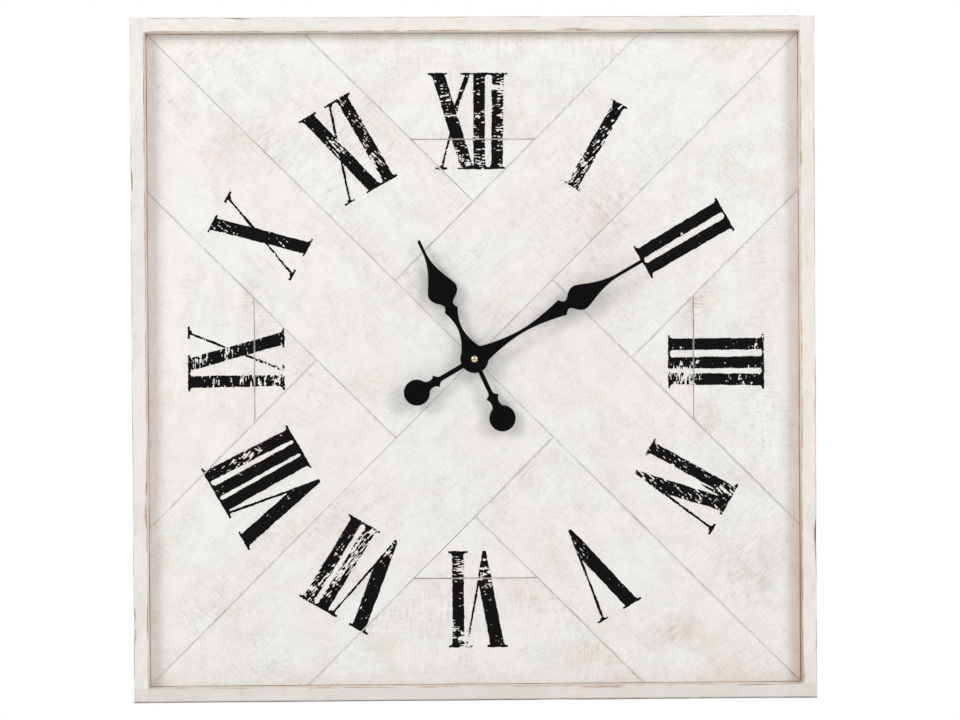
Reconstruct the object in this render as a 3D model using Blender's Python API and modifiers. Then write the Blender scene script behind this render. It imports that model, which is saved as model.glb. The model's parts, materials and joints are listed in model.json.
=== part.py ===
"""Square wall clock: painted wood frame, a pinwheel of sixteen planks as the dial, two spade hands,
and a battery quartz movement let into the plywood backer.

All pieces hang from the empty "dial". In the dial's own axes X is right, Y is up and Z is out from the
wall, so z = 0 is the wall and the hands turn about x = y = 0. The empty stands the dial upright, facing
-Y, with the world's origin at the point of the sawtooth hanger that rests on the wall's nail.
"""

import math

import bmesh
import bpy
from mathutils import Matrix, Vector

# ---- Frame and dial, in metres ----
CLOCK_SIDE = 0.610
RAIL_FACE = 0.0127
RECESS = 0.012  # from the rails' front down to the planks
PLANK_WIDTH = 0.100
PLANK_THICK = 0.010
TIP_SPLIT = 0.197  # from the hand axis to the seam across each triangle
SEAM = 0.0006
BACKER_THICK = 0.006
BATTEN_HEIGHT = 0.045
BATTEN_THICK = 0.009
BATTEN_DROP = 0.004  # below the top rail
FIT = 0.0003  # between pieces that touch

# ---- Fixings on the back ----
BUMPER_THICK = 0.002
BUMPER_RADIUS = 0.005
BUMPER_INSET = 0.025  # from the clock's corner, up and down the side rail
HANGER_LENGTH = 0.045
HANGER_HEIGHT = 0.011
HANGER_THICK = 0.001
HANGER_LIFT = 0.0018  # the toothed middle stands off the batten by this
HANGER_EAR = 0.0085
HANGER_RAMP = 0.002
HANGER_TEETH = 9
TOOTH_DEPTH = 0.0012
NAIL_RADIUS = 0.0007
NAIL_HEAD_RADIUS = 0.0019
NAIL_HEAD_THICK = 0.0006
HANGER_NAIL_LENGTH = 0.007
CORNER_BRAD_LENGTH = 0.030
BRAD_RADIUS = 0.0008
BRAD_HEAD_RADIUS = 0.0013
BRAD_HEAD_THICK = 0.0010

# ---- Movement case ----
CASE_WALL = 0.0012
DIVIDER = 0.0010
DIVIDER_TOP = -0.0110  # the wall between the wheels and the cell, just below the largest wheel
WALL_CLEARANCE = 0.0011  # between the setting knob and the wall
KNOB_THICK = 0.0020
KNOB_RADIUS = 0.0046
GASKET_THICK = 0.0010
GASKET_RADIUS = 0.0130
BUSHING_RADIUS = 0.0040
BUSHING_BORE = 0.00285
BUSHING_STAND = 0.0012  # proud of the nut
WASHER_RADIUS = 0.0085
WASHER_THICK = 0.0010
NUT_RADIUS = 0.0063  # across the corners, halved
NUT_THICK = 0.0025
SHAFT_HOLE = 0.0052

# ---- Wheels ----
WHEEL_THICK = 0.0007
WHEEL_AIR = 0.00045
LEVEL_PITCH = 0.0019
PLATE_THICK = 0.0008
ARBOR_RADIUS = 0.0005
PIVOT_AIR = 0.0002
MOTION_MODULE = 0.00045
CENTRE_MODULE = 0.00033
SECONDS_MODULE = 0.00052
ROTOR_MODULE = 0.00030
CANNON_TEETH = 10
MINUTE_WHEEL_TEETH = 30
HOUR_PINION_TEETH = 8
HOUR_WHEEL_TEETH = 32
KNOB_TEETH = 10
TRAIN_PINION_TEETH = 8
CENTRE_TEETH = 64
THIRD_TEETH = 60
SECONDS_TEETH = 40
INTERMEDIATE_TEETH = 48
ADDENDUM = 0.75  # of the module
DEDENDUM = 1.15
BACKLASH = 0.16  # of a tooth's width
HOUR_TUBE_RADIUS = 0.0025
HOUR_TUBE_BORE = 0.0019
MINUTE_ARBOR_RADIUS = 0.0015
KNOB_STEM_RADIUS = 0.0013
ROTOR_RADIUS = 0.0028
ROTOR_LENGTH = 0.0030
MINUTE_WHEEL_ANGLE = math.radians(185)
KNOB_ANGLE = math.radians(200)  # seen from the minute wheel
THIRD_ANGLE = math.radians(120)
INTERMEDIATE_ANGLE = math.radians(-12)
ROTOR_ANGLE = math.radians(60)  # seen from the intermediate wheel

# ---- Wheel bridge ----
BRIDGE_ABOVE = 0.0030  # past the third wheel's arbor
BRIDGE_LEFT = 0.0040  # past the setting knob's stem
BRIDGE_RIGHT = 0.0070  # past the rotor's arbor
BRIDGE_SLOPE = (0.0150, 0.0030)  # of its cut corner, across and down
LEG_RADIUS = 0.0012
LEG_INSET = 0.0016
LEG_X = -0.0130

# ---- Motor, circuit and battery ----
STATOR_THICK = 0.0010
STATOR_HOLE = 0.0036
STATOR_LEG = 0.0028
STATOR_LEFT = 0.0070
STATOR_RIGHT = 0.0262
STATOR_TOP = 0.0230
STATOR_FOOT = 0.0055  # of the stator below and above the rotor's centre
CORE_WIDTH = 0.0032
COIL_RADIUS = 0.0040
BOBBIN_FLANGE = 0.0008
BOBBIN_BARREL = 0.0024
BOARD_SIZE = (0.0165, 0.0110)
BOARD_THICK = 0.0008
CHIP_SIDE = 0.0055
CRYSTAL_RADIUS = 0.0010
CRYSTAL_LENGTH = 0.0060
BATTERY_RADIUS = 0.0071
BATTERY_LENGTH = 0.0505
BATTERY_NUB_RADIUS = 0.0027
BATTERY_NUB = 0.0010
CONTACT_THICK = 0.0004
CONTACT_SPRING = 0.00085  # left for the contact to bend, between it and the cell
CONTACT_WIDTH = 0.0080
CONTACT_RISE = 0.0050  # of its tab above the battery bay

# ---- Hands: radii along the hand and half widths across it ----
HAND_THICK = 0.0006
HUB_RADIUS = 0.0126
HAND_GAP = 0.0030  # between the two hands
HAND_LIFT = 0.0020  # of the hour hand over the bushing's end
CAP_RADIUS = 0.0033
CAP_HEIGHT = 0.0035
CAP_BRIM = 0.4  # of its height, below the dome
CAP_STEPS = 5
MINUTES_SHOWN = 10
HOUR_SHOWN = 11
MINUTE_HAND = {
    "length": 0.1760,
    "root": 0.0074,
    "waist": (0.0500, 0.0016),
    "collar": (0.0911, 0.0077),
    "notch": (0.0960, 0.0039),
    "spade": (0.1088, 0.0116),
    "needle": (0.1480, 0.0015),
    "stem": 0.0022,
    "barb": (0.0394, 0.0061),
    "neck": (0.0446, 0.0034),
    "weight": (0.0595, 0.01165),
}
HOUR_HAND = {
    "length": 0.1170,
    "root": 0.0086,
    "waist": (0.0310, 0.0020),
    "collar": (0.0486, 0.0065),
    "notch": (0.0532, 0.0042),
    "spade": (0.0668, 0.0137),
    "needle": (0.1040, 0.0014),
    "stem": 0.0020,
    "barb": (0.0379, 0.0062),
    "neck": (0.0440, 0.0037),
    "weight": (0.0587, 0.0118),
}

# The third wheel runs between two wheels on the hand axis, so both pairs have one distance.
THIRD_MODULE = CENTRE_MODULE * (CENTRE_TEETH + TRAIN_PINION_TEETH) / (
    THIRD_TEETH + TRAIN_PINION_TEETH
)

# ---- Worked out: distances from the wall ----
MOTION_WORK_DEEP = 2 * WHEEL_THICK + 2 * WHEEL_AIR
MID_PLATE_DEEP = MOTION_WORK_DEEP + WHEEL_AIR
CENTRE_DEEP = MID_PLATE_DEEP + PLATE_THICK + WHEEL_AIR
THIRD_DEEP = CENTRE_DEEP + LEVEL_PITCH
SECONDS_DEEP = THIRD_DEEP + LEVEL_PITCH
INTERMEDIATE_DEEP = SECONDS_DEEP + LEVEL_PITCH
BRIDGE_DEEP = INTERMEDIATE_DEEP + WHEEL_THICK + WHEEL_AIR
COVER_DEEP = BRIDGE_DEEP + PLATE_THICK + 2 * WHEEL_AIR
CASE_DEPTH = CASE_WALL + COVER_DEEP + CASE_WALL
CASE_BACK = WALL_CLEARANCE + KNOB_THICK + FIT
CASE_FRONT = CASE_BACK + CASE_DEPTH
CASE_INSIDE = CASE_FRONT - CASE_WALL  # the front plate's inner face
PLANK_BACK = CASE_FRONT + FIT + GASKET_THICK + FIT
PLANK_FRONT = PLANK_BACK + PLANK_THICK
RAIL_BACK = BUMPER_THICK
RAIL_FRONT = PLANK_FRONT + RECESS
BACKER_FRONT = PLANK_BACK - FIT
BACKER_BACK = BACKER_FRONT - BACKER_THICK
BATTEN_FRONT = BACKER_BACK - FIT
BATTEN_BACK = BATTEN_FRONT - BATTEN_THICK
WASHER_BACK = PLANK_FRONT + FIT
NUT_BACK = WASHER_BACK + WASHER_THICK + FIT
BUSHING_FRONT = NUT_BACK + NUT_THICK + BUSHING_STAND
HOUR_HAND_BACK = BUSHING_FRONT + HAND_LIFT
MINUTE_HAND_BACK = HOUR_HAND_BACK + HAND_THICK + HAND_GAP
CAP_BACK = MINUTE_HAND_BACK + HAND_THICK + FIT

# ---- Worked out: places across the dial ----
OPENING = CLOCK_SIDE / 2 - RAIL_FACE
BATTEN_TOP = OPENING - BATTEN_DROP
HANGER_FOOT = BATTEN_TOP - (BATTEN_HEIGHT + HANGER_HEIGHT) / 2
NAIL_REST = HANGER_FOOT + TOOTH_DEPTH
CASE_ROOM = BATTERY_LENGTH / 2 + CONTACT_SPRING + CONTACT_THICK + FIT
CASE_HALF = CASE_ROOM + CASE_WALL
BATTERY_Y = DIVIDER_TOP - DIVIDER - FIT - BATTERY_RADIUS
CASE_FLOOR = BATTERY_Y - BATTERY_RADIUS - FIT
CASE_FOOT = CASE_FLOOR - CASE_WALL


def polar(radius, angle):
    return Vector((radius * math.cos(angle), radius * math.sin(angle)))


def axle_distance(module, teeth_a, teeth_b):
    return module * (teeth_a + teeth_b) / 2


HAND_AXIS = Vector((0, 0))
MINUTE_WHEEL_AT = polar(
    axle_distance(MOTION_MODULE, CANNON_TEETH, MINUTE_WHEEL_TEETH), MINUTE_WHEEL_ANGLE
)
KNOB_AT = MINUTE_WHEEL_AT + polar(
    axle_distance(MOTION_MODULE, MINUTE_WHEEL_TEETH, KNOB_TEETH), KNOB_ANGLE
)
THIRD_AT = polar(axle_distance(CENTRE_MODULE, CENTRE_TEETH, TRAIN_PINION_TEETH), THIRD_ANGLE)
INTERMEDIATE_AT = polar(
    axle_distance(SECONDS_MODULE, SECONDS_TEETH, TRAIN_PINION_TEETH), INTERMEDIATE_ANGLE
)
ROTOR_AT = INTERMEDIATE_AT + polar(
    axle_distance(ROTOR_MODULE, INTERMEDIATE_TEETH, TRAIN_PINION_TEETH), ROTOR_ANGLE
)

ROUND_STEPS = 24
SIDES = {"top": 1, "right": 0, "bottom": -1, "left": 2}  # quarter turns from the right side

# Colours are linear, then roughness and metallic.
FINISHES = {
    "rail_paint": ((0.80, 0.77, 0.72, 1), 0.75, 0.0),
    "plank_whitewash": ((0.82, 0.80, 0.76, 1), 0.80, 0.0),
    "bare_plywood": ((0.56, 0.40, 0.24, 1), 0.70, 0.0),
    "pine_batten": ((0.62, 0.44, 0.25, 1), 0.70, 0.0),
    "zinc_steel": ((0.60, 0.60, 0.60, 1), 0.35, 1.0),
    "clear_rubber": ((0.35, 0.35, 0.33, 1), 0.60, 0.0),
    "black_paint": ((0.012, 0.012, 0.013, 1), 0.40, 0.0),
    "brass": ((0.78, 0.55, 0.25, 1), 0.25, 1.0),
    "black_abs": ((0.020, 0.020, 0.022, 1), 0.50, 0.0),
    "white_acetal": ((0.80, 0.80, 0.76, 1), 0.40, 0.0),
    "magnet": ((0.10, 0.10, 0.11, 1), 0.45, 0.6),
    "silicon_steel": ((0.45, 0.45, 0.46, 1), 0.40, 1.0),
    "enamelled_copper": ((0.60, 0.22, 0.08, 1), 0.35, 1.0),
    "circuit_board": ((0.03, 0.16, 0.06, 1), 0.45, 0.0),
    "battery_jacket": ((0.05, 0.07, 0.14, 1), 0.35, 0.2),
}


def start_scene():
    """Empties the scene and returns the collections for parts and cutters, and the dial's empty."""
    for obj in list(bpy.data.objects):
        bpy.data.objects.remove(obj, do_unlink=True)
    made = []
    for name in ("wall_clock", "cutters"):
        collection = bpy.data.collections.new(name)
        bpy.context.scene.collection.children.link(collection)
        made.append(collection)
    dial = bpy.data.objects.new("dial", None)
    dial.location = (0, 0, -NAIL_REST)
    dial.rotation_euler = (math.pi / 2, 0, 0)
    made[0].objects.link(dial)
    return made[0], made[1], dial


PARTS, CUTTERS, DIAL = start_scene()


def finish_material(name):
    material = bpy.data.materials.get(name)
    if material is None:
        colour, roughness, metallic = FINISHES[name]
        material = bpy.data.materials.new(name)
        material.use_nodes = True
        material.diffuse_color = colour
        shader = material.node_tree.nodes["Principled BSDF"]
        shader.inputs["Base Color"].default_value = colour
        shader.inputs["Roughness"].default_value = roughness
        shader.inputs["Metallic"].default_value = metallic
    return material


def place(obj, name, finish=None, parent=DIAL):
    """Names an object, hangs it from its parent and puts it with the parts, or with the cutters."""
    for collection in list(obj.users_collection):
        collection.objects.unlink(obj)
    obj.name = name
    obj.parent = parent
    if finish is None:
        CUTTERS.objects.link(obj)
        obj.hide_render = True
        obj.display_type = "WIRE"
    else:
        PARTS.objects.link(obj)
        obj.data.materials.clear()
        obj.data.materials.append(finish_material(finish))
    return obj


def apply_scale(obj):
    obj.data.transform(Matrix.Diagonal((*obj.scale, 1)))
    obj.scale = (1, 1, 1)


def block(name, low, high, finish=None):
    """A box between two corners in the dial's axes."""
    low, high = Vector(low), Vector(high)
    bpy.ops.mesh.primitive_cube_add(size=1, location=(low + high) / 2)
    obj = bpy.context.object
    obj.scale = high - low
    apply_scale(obj)
    return place(obj, name, finish)


def rod(name, at, radius, low, high, finish=None, sides=ROUND_STEPS):
    """A cylinder along the dial's Z from low to high, at a place across the dial."""
    bpy.ops.mesh.primitive_cylinder_add(
        vertices=sides,
        radius=radius,
        depth=high - low,
        location=(at[0], at[1], (low + high) / 2),
    )
    obj = place(bpy.context.object, name, finish)
    smooth_sides(obj)
    return obj


def smooth_sides(obj):
    obj.data.shade_smooth()
    obj.data.set_sharp_from_angle(angle=math.radians(40))


def turned(name, profile, finish=None, steps=ROUND_STEPS):
    """Turns a profile of (radius, height) points about the dial's Z. It runs down the outer side."""
    mesh = bpy.data.meshes.new(name)
    shape = bmesh.new()
    points = [shape.verts.new((radius, 0, height)) for radius, height in profile]
    closed = profile[0][0] > 0 and profile[-1][0] > 0
    ends = zip(points, points[1:] + (points[:1] if closed else []))
    for one, other in ends:
        shape.edges.new((one, other))
    shape.to_mesh(mesh)
    shape.free()
    obj = place(bpy.data.objects.new(name, mesh), name, finish)
    screw = obj.modifiers.new("turn", "SCREW")
    screw.steps = steps
    screw.render_steps = steps
    screw.use_merge_vertices = True
    screw.merge_threshold = 0.00001
    screw.use_smooth_shade = False
    return obj


def tube(name, at, inner, outer, low, high, finish=None, steps=ROUND_STEPS):
    profile = [(outer, high), (outer, low), (inner, low), (inner, high)]
    obj = turned(name, profile, finish, steps)
    obj.location = (at[0], at[1], 0)
    return obj


def plate(name, outline, low, high, finish=None, holes=(), at=HAND_AXIS):
    """A flat piece between two heights: a filled 2D curve of an outline and its holes, in one mesh."""
    curve = bpy.data.curves.new(name, "CURVE")
    curve.dimensions = "2D"
    curve.fill_mode = "BOTH"
    curve.extrude = (high - low) / 2
    for ring in (outline, *holes):
        spline = curve.splines.new("POLY")
        spline.points.add(len(ring) - 1)
        for point, (x, y) in zip(spline.points, ring):
            point.co = (x, y, 0, 1)
        spline.use_cyclic_u = True
    guide = bpy.data.objects.new(name + "_guide", curve)
    bpy.context.scene.collection.objects.link(guide)
    graph = bpy.context.evaluated_depsgraph_get()
    mesh = bpy.data.meshes.new_from_object(guide.evaluated_get(graph))
    bpy.data.objects.remove(guide)
    bpy.data.curves.remove(curve)
    shape = bmesh.new()
    shape.from_mesh(mesh)
    bmesh.ops.remove_doubles(shape, verts=shape.verts, dist=0.000002)
    bmesh.ops.recalc_face_normals(shape, faces=shape.faces)
    shape.to_mesh(mesh)
    shape.free()
    obj = place(bpy.data.objects.new(name, mesh), name, finish)
    obj.location = (at[0], at[1], (low + high) / 2)
    return obj


def boolean(obj, other, operation):
    modifier = obj.modifiers.new(f"{operation.lower()} {other.name}", "BOOLEAN")
    modifier.operation = operation
    modifier.solver = "EXACT"
    modifier.object = other
    return obj


def cut(obj, *cutters):
    for cutter in cutters:
        boolean(obj, cutter, "DIFFERENCE")
    return obj


def join(obj, *others):
    for other in others:
        boolean(obj, other, "UNION")
    return obj


def circle(radius, at=HAND_AXIS, steps=ROUND_STEPS):
    return [at + polar(radius, math.tau * i / steps) for i in range(steps)]


def arc(centre, radius, start, end, steps):
    return [centre + polar(radius, start + (end - start) * i / steps) for i in range(steps + 1)]


def bezier(start, pull_start, pull_end, end, steps=8):
    """The points after the start of a cubic curve with two pulling points."""
    made = []
    for i in range(1, steps + 1):
        t = i / steps
        weights = ((1 - t) ** 3, 3 * t * (1 - t) ** 2, 3 * t**2 * (1 - t), t**3)
        knots = (start, pull_start, pull_end, end)
        made.append(sum((w * Vector(k) for w, k in zip(weights, knots)), Vector((0, 0))))
    return made


def inset(ring, distance):
    """A convex outline that runs anticlockwise, moved inwards by a distance."""
    lines = []
    for one, other in zip(ring, ring[1:] + ring[:1]):
        along = (Vector(other) - Vector(one)).normalized()
        lines.append((Vector(one) + distance * Vector((-along.y, along.x)), along))
    made = []
    for (point, along), (other, across) in zip(lines[-1:] + lines[:-1], lines):
        gap = other - point
        reach = (gap.x * across.y - gap.y * across.x) / (along.x * across.y - along.y * across.x)
        made.append(point + reach * along)
    return made


def quarter_turned(ring, turns):
    spin = Matrix.Rotation(turns * math.pi / 2, 2)
    return [spin @ Vector(point) for point in ring]


# ---- Frame ----


def brad_at(side_x, side_y):
    """The place of a corner brad's head. The brad runs across the rails' joint, along X."""
    y = side_y * (CLOCK_SIDE - RAIL_FACE) / 2
    return side_x * CLOCK_SIDE / 2, y, (RAIL_BACK + RAIL_FRONT) / 2


def brad_profile(length, shank, head, head_thick):
    return [
        (0, 0),
        (head, 0),
        (head, -head_thick),
        (shank, -head_thick),
        (shank, -length),
        (0, -length),
    ]


def corner_brad(name, side_x, side_y, extra=0.0, finish=None):
    """A headed brad with its head flush in the side rail. extra makes the hole that clears it."""
    length = CORNER_BRAD_LENGTH + extra
    head = BRAD_HEAD_RADIUS + extra
    profile = brad_profile(length, BRAD_RADIUS + extra, head, BRAD_HEAD_THICK + 2 * extra)
    obj = turned(name, profile, finish, steps=12)
    x, y, z = brad_at(side_x, side_y)
    obj.location = (x + side_x * (extra - FIT), y, z)
    obj.rotation_euler = (0, side_x * math.pi / 2, 0)
    return obj


def build_rails():
    half = CLOCK_SIDE / 2
    sides = {"left": -1, "right": 1}
    ends = {"bottom": -1, "top": 1}
    rails = {}
    for name, side in sides.items():
        low, high = sorted((side * half, side * OPENING))
        rails[name] = block(
            f"frame_rail_{name}", (low, -half, RAIL_BACK), (high, half, RAIL_FRONT), "rail_paint"
        )
    for name, end in ends.items():
        low, high = sorted((end * half, end * OPENING))
        reach = OPENING - FIT
        rails[name] = block(
            f"frame_rail_{name}", (-reach, low, RAIL_BACK), (reach, high, RAIL_FRONT), "rail_paint"
        )
    for side_name, side in sides.items():
        for end_name, end in ends.items():
            hole = corner_brad(f"brad_hole_{end_name}_{side_name}", side, end, extra=FIT)
            cut(rails[side_name], hole)
            cut(rails[end_name], hole)
            corner_brad(f"corner_brad_{end_name}_{side_name}", side, end, finish="zinc_steel")


def diagonal(up, down):
    """A point given by its distances along the up-right and the down-right diagonals."""
    return Vector((up + down, up - down)) / math.sqrt(2)


def anticlockwise(ring):
    area = sum(a.x * b.y - a.y * b.x for a, b in zip(ring, ring[1:] + ring[:1]))
    return ring if area > 0 else ring[::-1]


def with_shaft_hole(ring):
    """Trades the corner of a long plank that lies near the hand axis for its share of the hole."""
    corner = min(range(len(ring)), key=lambda i: ring[i].length)
    lean = math.asin(SEAM / 2 / SHAFT_HOLE)
    notch = arc(HAND_AXIS, SHAFT_HOLE, math.pi / 4 - lean, -math.pi / 4 + lean, 6)
    return ring[:corner] + notch + ring[corner + 1 :]


def build_planks():
    """Four planks of each kind. Each is drawn for the right side and turned round the dial."""
    corner = math.sqrt(2) * OPENING
    apex = math.sqrt(2) * PLANK_WIDTH
    width = PLANK_WIDTH
    spread = TIP_SPLIT - apex
    kinds = {
        "long": [(0, 0), (width, 0), (width, corner - width), (0, corner)],
        "short": [(width, 0), (width, width), (corner - width, width), (corner, 0)],
    }
    outlines = {kind: [diagonal(*point) for point in ring] for kind, ring in kinds.items()}
    outlines["tip"] = [
        Vector((apex, 0)),
        Vector((TIP_SPLIT, -spread)),
        Vector((TIP_SPLIT, spread)),
    ]
    outlines["edge"] = [
        Vector((TIP_SPLIT, -spread)),
        Vector((OPENING, apex - OPENING)),
        Vector((OPENING, OPENING - apex)),
        Vector((TIP_SPLIT, spread)),
    ]
    for kind, ring in outlines.items():
        ring = inset(anticlockwise(ring), SEAM / 2)
        if kind == "long":
            ring = with_shaft_hole(ring)
        for side, turns in SIDES.items():
            plate(
                f"plank_{kind}_{side}",
                quarter_turned(ring, turns),
                PLANK_BACK,
                PLANK_FRONT,
                "plank_whitewash",
            )


def rectangle(left, low, right, high):
    return [(left, low), (right, low), (right, high), (left, high)]


def build_backer():
    reach = OPENING - FIT
    side = CASE_HALF + 2 * FIT
    window = rectangle(-side, CASE_FOOT - 2 * FIT, side, side)
    plate(
        "backer_panel",
        rectangle(-reach, -reach, reach, reach),
        BACKER_BACK,
        BACKER_FRONT,
        "bare_plywood",
        holes=[window[::-1]],
    )


def hanger_profile():
    """The strip's side view, for the right half: ear, ramp and the raised middle."""
    half = HANGER_LENGTH / 2
    ramp_foot = half - HANGER_EAR
    return [
        (half, 0),
        (ramp_foot, 0),
        (ramp_foot - HANGER_RAMP, HANGER_LIFT),
        (HANGER_RAMP - ramp_foot, HANGER_LIFT),
        (-ramp_foot, 0),
        (-half, 0),
    ]


def build_hanger():
    """A sawtooth hanger on its batten, with two nails through its ears."""
    reach = OPENING - 2 * FIT
    batten = block(
        "hanging_batten",
        (-reach, BATTEN_TOP - BATTEN_HEIGHT, BATTEN_BACK),
        (reach, BATTEN_TOP, BATTEN_FRONT),
        "pine_batten",
    )
    strip = hanger_profile()
    outline = strip + [(x, y + HANGER_THICK) for x, y in strip[::-1]]
    # The outline stands away from the batten, towards the wall, so it is laid over on its side.
    hanger = plate(
        "sawtooth_hanger", outline[::-1], -HANGER_HEIGHT / 2, HANGER_HEIGHT / 2, "zinc_steel"
    )
    hanger.location = (0, HANGER_FOOT + HANGER_HEIGHT / 2, BATTEN_BACK - FIT)
    hanger.rotation_euler = (-math.pi / 2, 0, 0)
    pitch = (HANGER_LENGTH - 2 * HANGER_EAR - 2 * HANGER_RAMP) / HANGER_TEETH
    below = HANGER_FOOT - TOOTH_DEPTH
    teeth = []
    for i in range(HANGER_TEETH):
        left = (i - HANGER_TEETH / 2) * pitch
        teeth += [(left, HANGER_FOOT - FIT), (left + pitch / 2, NAIL_REST)]
    teeth += [(HANGER_TEETH / 2 * pitch, HANGER_FOOT - FIT), (HANGER_TEETH / 2 * pitch, below)]
    teeth += [(-HANGER_TEETH / 2 * pitch, below)]
    cut(hanger, plate("hanger_tooth_cutter", teeth[::-1], -FIT, BATTEN_BACK))
    for name, side in (("left", -1), ("right", 1)):
        at = (side * (HANGER_LENGTH - HANGER_EAR) / 2, HANGER_FOOT + HANGER_HEIGHT / 2)
        head = BATTEN_BACK - 2 * FIT - HANGER_THICK
        hole = rod(
            f"hanger_hole_{name}",
            at,
            NAIL_RADIUS + FIT,
            head - FIT,
            head + HANGER_NAIL_LENGTH + FIT,
            sides=12,
        )
        cut(hanger, hole)
        cut(batten, hole)
        profile = brad_profile(
            HANGER_NAIL_LENGTH, NAIL_RADIUS, NAIL_HEAD_RADIUS, NAIL_HEAD_THICK
        )
        nail = turned(f"hanger_nail_{name}", profile, "zinc_steel", steps=12)
        nail.location = (*at, head - NAIL_HEAD_THICK)
        nail.rotation_euler = (math.pi, 0, 0)


def build_bumpers():
    x = (CLOCK_SIDE - RAIL_FACE) / 2
    y = BUMPER_INSET - CLOCK_SIDE / 2
    for name, side in (("left", -1), ("right", 1)):
        rod(f"wall_bumper_{name}", (side * x, y), BUMPER_RADIUS, 0, RAIL_BACK - FIT, "clear_rubber")


# ---- Movement case and its plates ----


def deep(depth):
    """The distance from the wall of a depth behind the case's front plate."""
    return CASE_INSIDE - depth


def contact_x(side):
    return side * (CASE_ROOM - FIT - CONTACT_THICK / 2)


def build_case():
    case = block(
        "movement_case",
        (-CASE_HALF, CASE_FOOT, CASE_BACK),
        (CASE_HALF, CASE_HALF, CASE_FRONT),
        "black_abs",
    )
    works = block(
        "works_pocket",
        (-CASE_ROOM, DIVIDER_TOP, CASE_BACK - FIT),
        (CASE_ROOM, CASE_ROOM, CASE_INSIDE),
    )
    bay = block(
        "battery_pocket",
        (-CASE_ROOM, CASE_FLOOR, CASE_BACK - FIT),
        (CASE_ROOM, DIVIDER_TOP - DIVIDER, CASE_INSIDE),
    )
    cut(case, works, bay)
    middle = CASE_INSIDE - FIT - BATTERY_RADIUS
    for name, side in (("left", -1), ("right", 1)):
        slot_half = CONTACT_WIDTH / 4 + FIT
        low, high = sorted((side * CASE_ROOM, side * (CASE_ROOM - CONTACT_THICK - 2 * FIT)))
        slot = block(
            f"contact_slot_{name}",
            (low, DIVIDER_TOP - 2 * DIVIDER, middle - slot_half),
            (high, DIVIDER_TOP + FIT, middle + slot_half),
        )
        cut(case, slot)
    bushing = rod("bushing_stock", HAND_AXIS, BUSHING_RADIUS, CASE_INSIDE + FIT, BUSHING_FRONT)
    bore = rod("bushing_bore", HAND_AXIS, BUSHING_BORE, CASE_INSIDE - FIT, BUSHING_FRONT + FIT)
    join(case, bushing)
    cut(case, bore)

    inner = CASE_ROOM - FIT
    stem = circle(KNOB_STEM_RADIUS + FIT, KNOB_AT)
    plate(
        "movement_cover",
        rectangle(-inner, DIVIDER_TOP + FIT, inner, inner),
        CASE_BACK,
        CASE_BACK + CASE_WALL,
        "black_abs",
        holes=[stem[::-1]],
    )


def build_clamping():
    """What clamps the movement to the dial: gasket behind, washer and nut in front."""
    bore = BUSHING_RADIUS + FIT
    back = CASE_FRONT + FIT
    tube(
        "rubber_gasket", HAND_AXIS, bore, GASKET_RADIUS, back, back + GASKET_THICK, "clear_rubber"
    )
    washer_front = WASHER_BACK + WASHER_THICK
    tube("dial_washer", HAND_AXIS, bore, WASHER_RADIUS, WASHER_BACK, washer_front, "brass")
    plate(
        "hex_nut",
        circle(NUT_RADIUS, steps=6),
        NUT_BACK,
        NUT_BACK + NUT_THICK,
        "brass",
        holes=[circle(bore)[::-1]],
    )


def build_plates():
    inner = CASE_ROOM - FIT
    low = DIVIDER_TOP + FIT
    coil_foot = ROTOR_AT.y + STATOR_FOOT + 2 * FIT + COIL_RADIUS
    step = STATOR_LEFT - 2 * FIT
    pivot = ARBOR_RADIUS + PIVOT_AIR
    outline = [
        (-inner + 2 * CONTACT_THICK, low),
        (inner - 2 * CONTACT_THICK, low),
        (inner - 2 * CONTACT_THICK, coil_foot),
        (step, coil_foot),
        (step, inner),
        (-inner + 2 * CONTACT_THICK, inner),
    ]
    shared = [
        circle(KNOB_STEM_RADIUS + FIT, KNOB_AT),
        circle(pivot, THIRD_AT, 12),
        circle(pivot, INTERMEDIATE_AT, 12),
        circle(pivot, ROTOR_AT, 12),
    ]
    mid_holes = shared + [
        circle(MINUTE_ARBOR_RADIUS + FIT),
        circle(pivot, MINUTE_WHEEL_AT, 12),
    ]
    plate(
        "mid_plate",
        outline,
        deep(MID_PLATE_DEEP + PLATE_THICK),
        deep(MID_PLATE_DEEP),
        "black_abs",
        holes=[hole[::-1] for hole in mid_holes],
    )
    top = THIRD_AT.y + BRIDGE_ABOVE
    left = KNOB_AT.x - BRIDGE_LEFT
    right = ROTOR_AT.x + BRIDGE_RIGHT
    across, down = BRIDGE_SLOPE
    bridge = plate(
        "wheel_bridge",
        [(left, low), (right, low), (right, top - down), (right - across, top), (left, top)],
        deep(BRIDGE_DEEP + PLATE_THICK),
        deep(BRIDGE_DEEP),
        "black_abs",
        holes=[hole[::-1] for hole in shared + [circle(pivot, HAND_AXIS, 12)]],
    )
    legs = [
        (left + LEG_INSET, top - BRIDGE_ABOVE),
        (right - LEG_INSET, low + LEG_INSET),
        (LEG_X, low + LEG_INSET),
    ]
    for i, at in enumerate(legs):
        leg = rod(
            f"bridge_leg_{i}",
            at,
            LEG_RADIUS,
            deep(BRIDGE_DEEP + PLATE_THICK / 2),
            deep(MID_PLATE_DEEP + PLATE_THICK + FIT),
            sides=12,
        )
        join(bridge, leg)


# ---- Wheels ----


def gear_outline(teeth, module, phase):
    """Straight-flanked teeth, the first centred on the phase angle."""
    pitch_radius = module * teeth / 2
    tip = pitch_radius + ADDENDUM * module
    root = pitch_radius - DEDENDUM * module
    half = math.pi / 2 / teeth * (1 - BACKLASH)
    made = []
    for i in range(teeth):
        middle = phase + math.tau * i / teeth
        for radius, spread in ((root, -1.42), (tip, -0.48), (tip, 0.48), (root, 1.42)):
            made.append(polar(radius, middle + spread * half))
    return made


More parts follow.
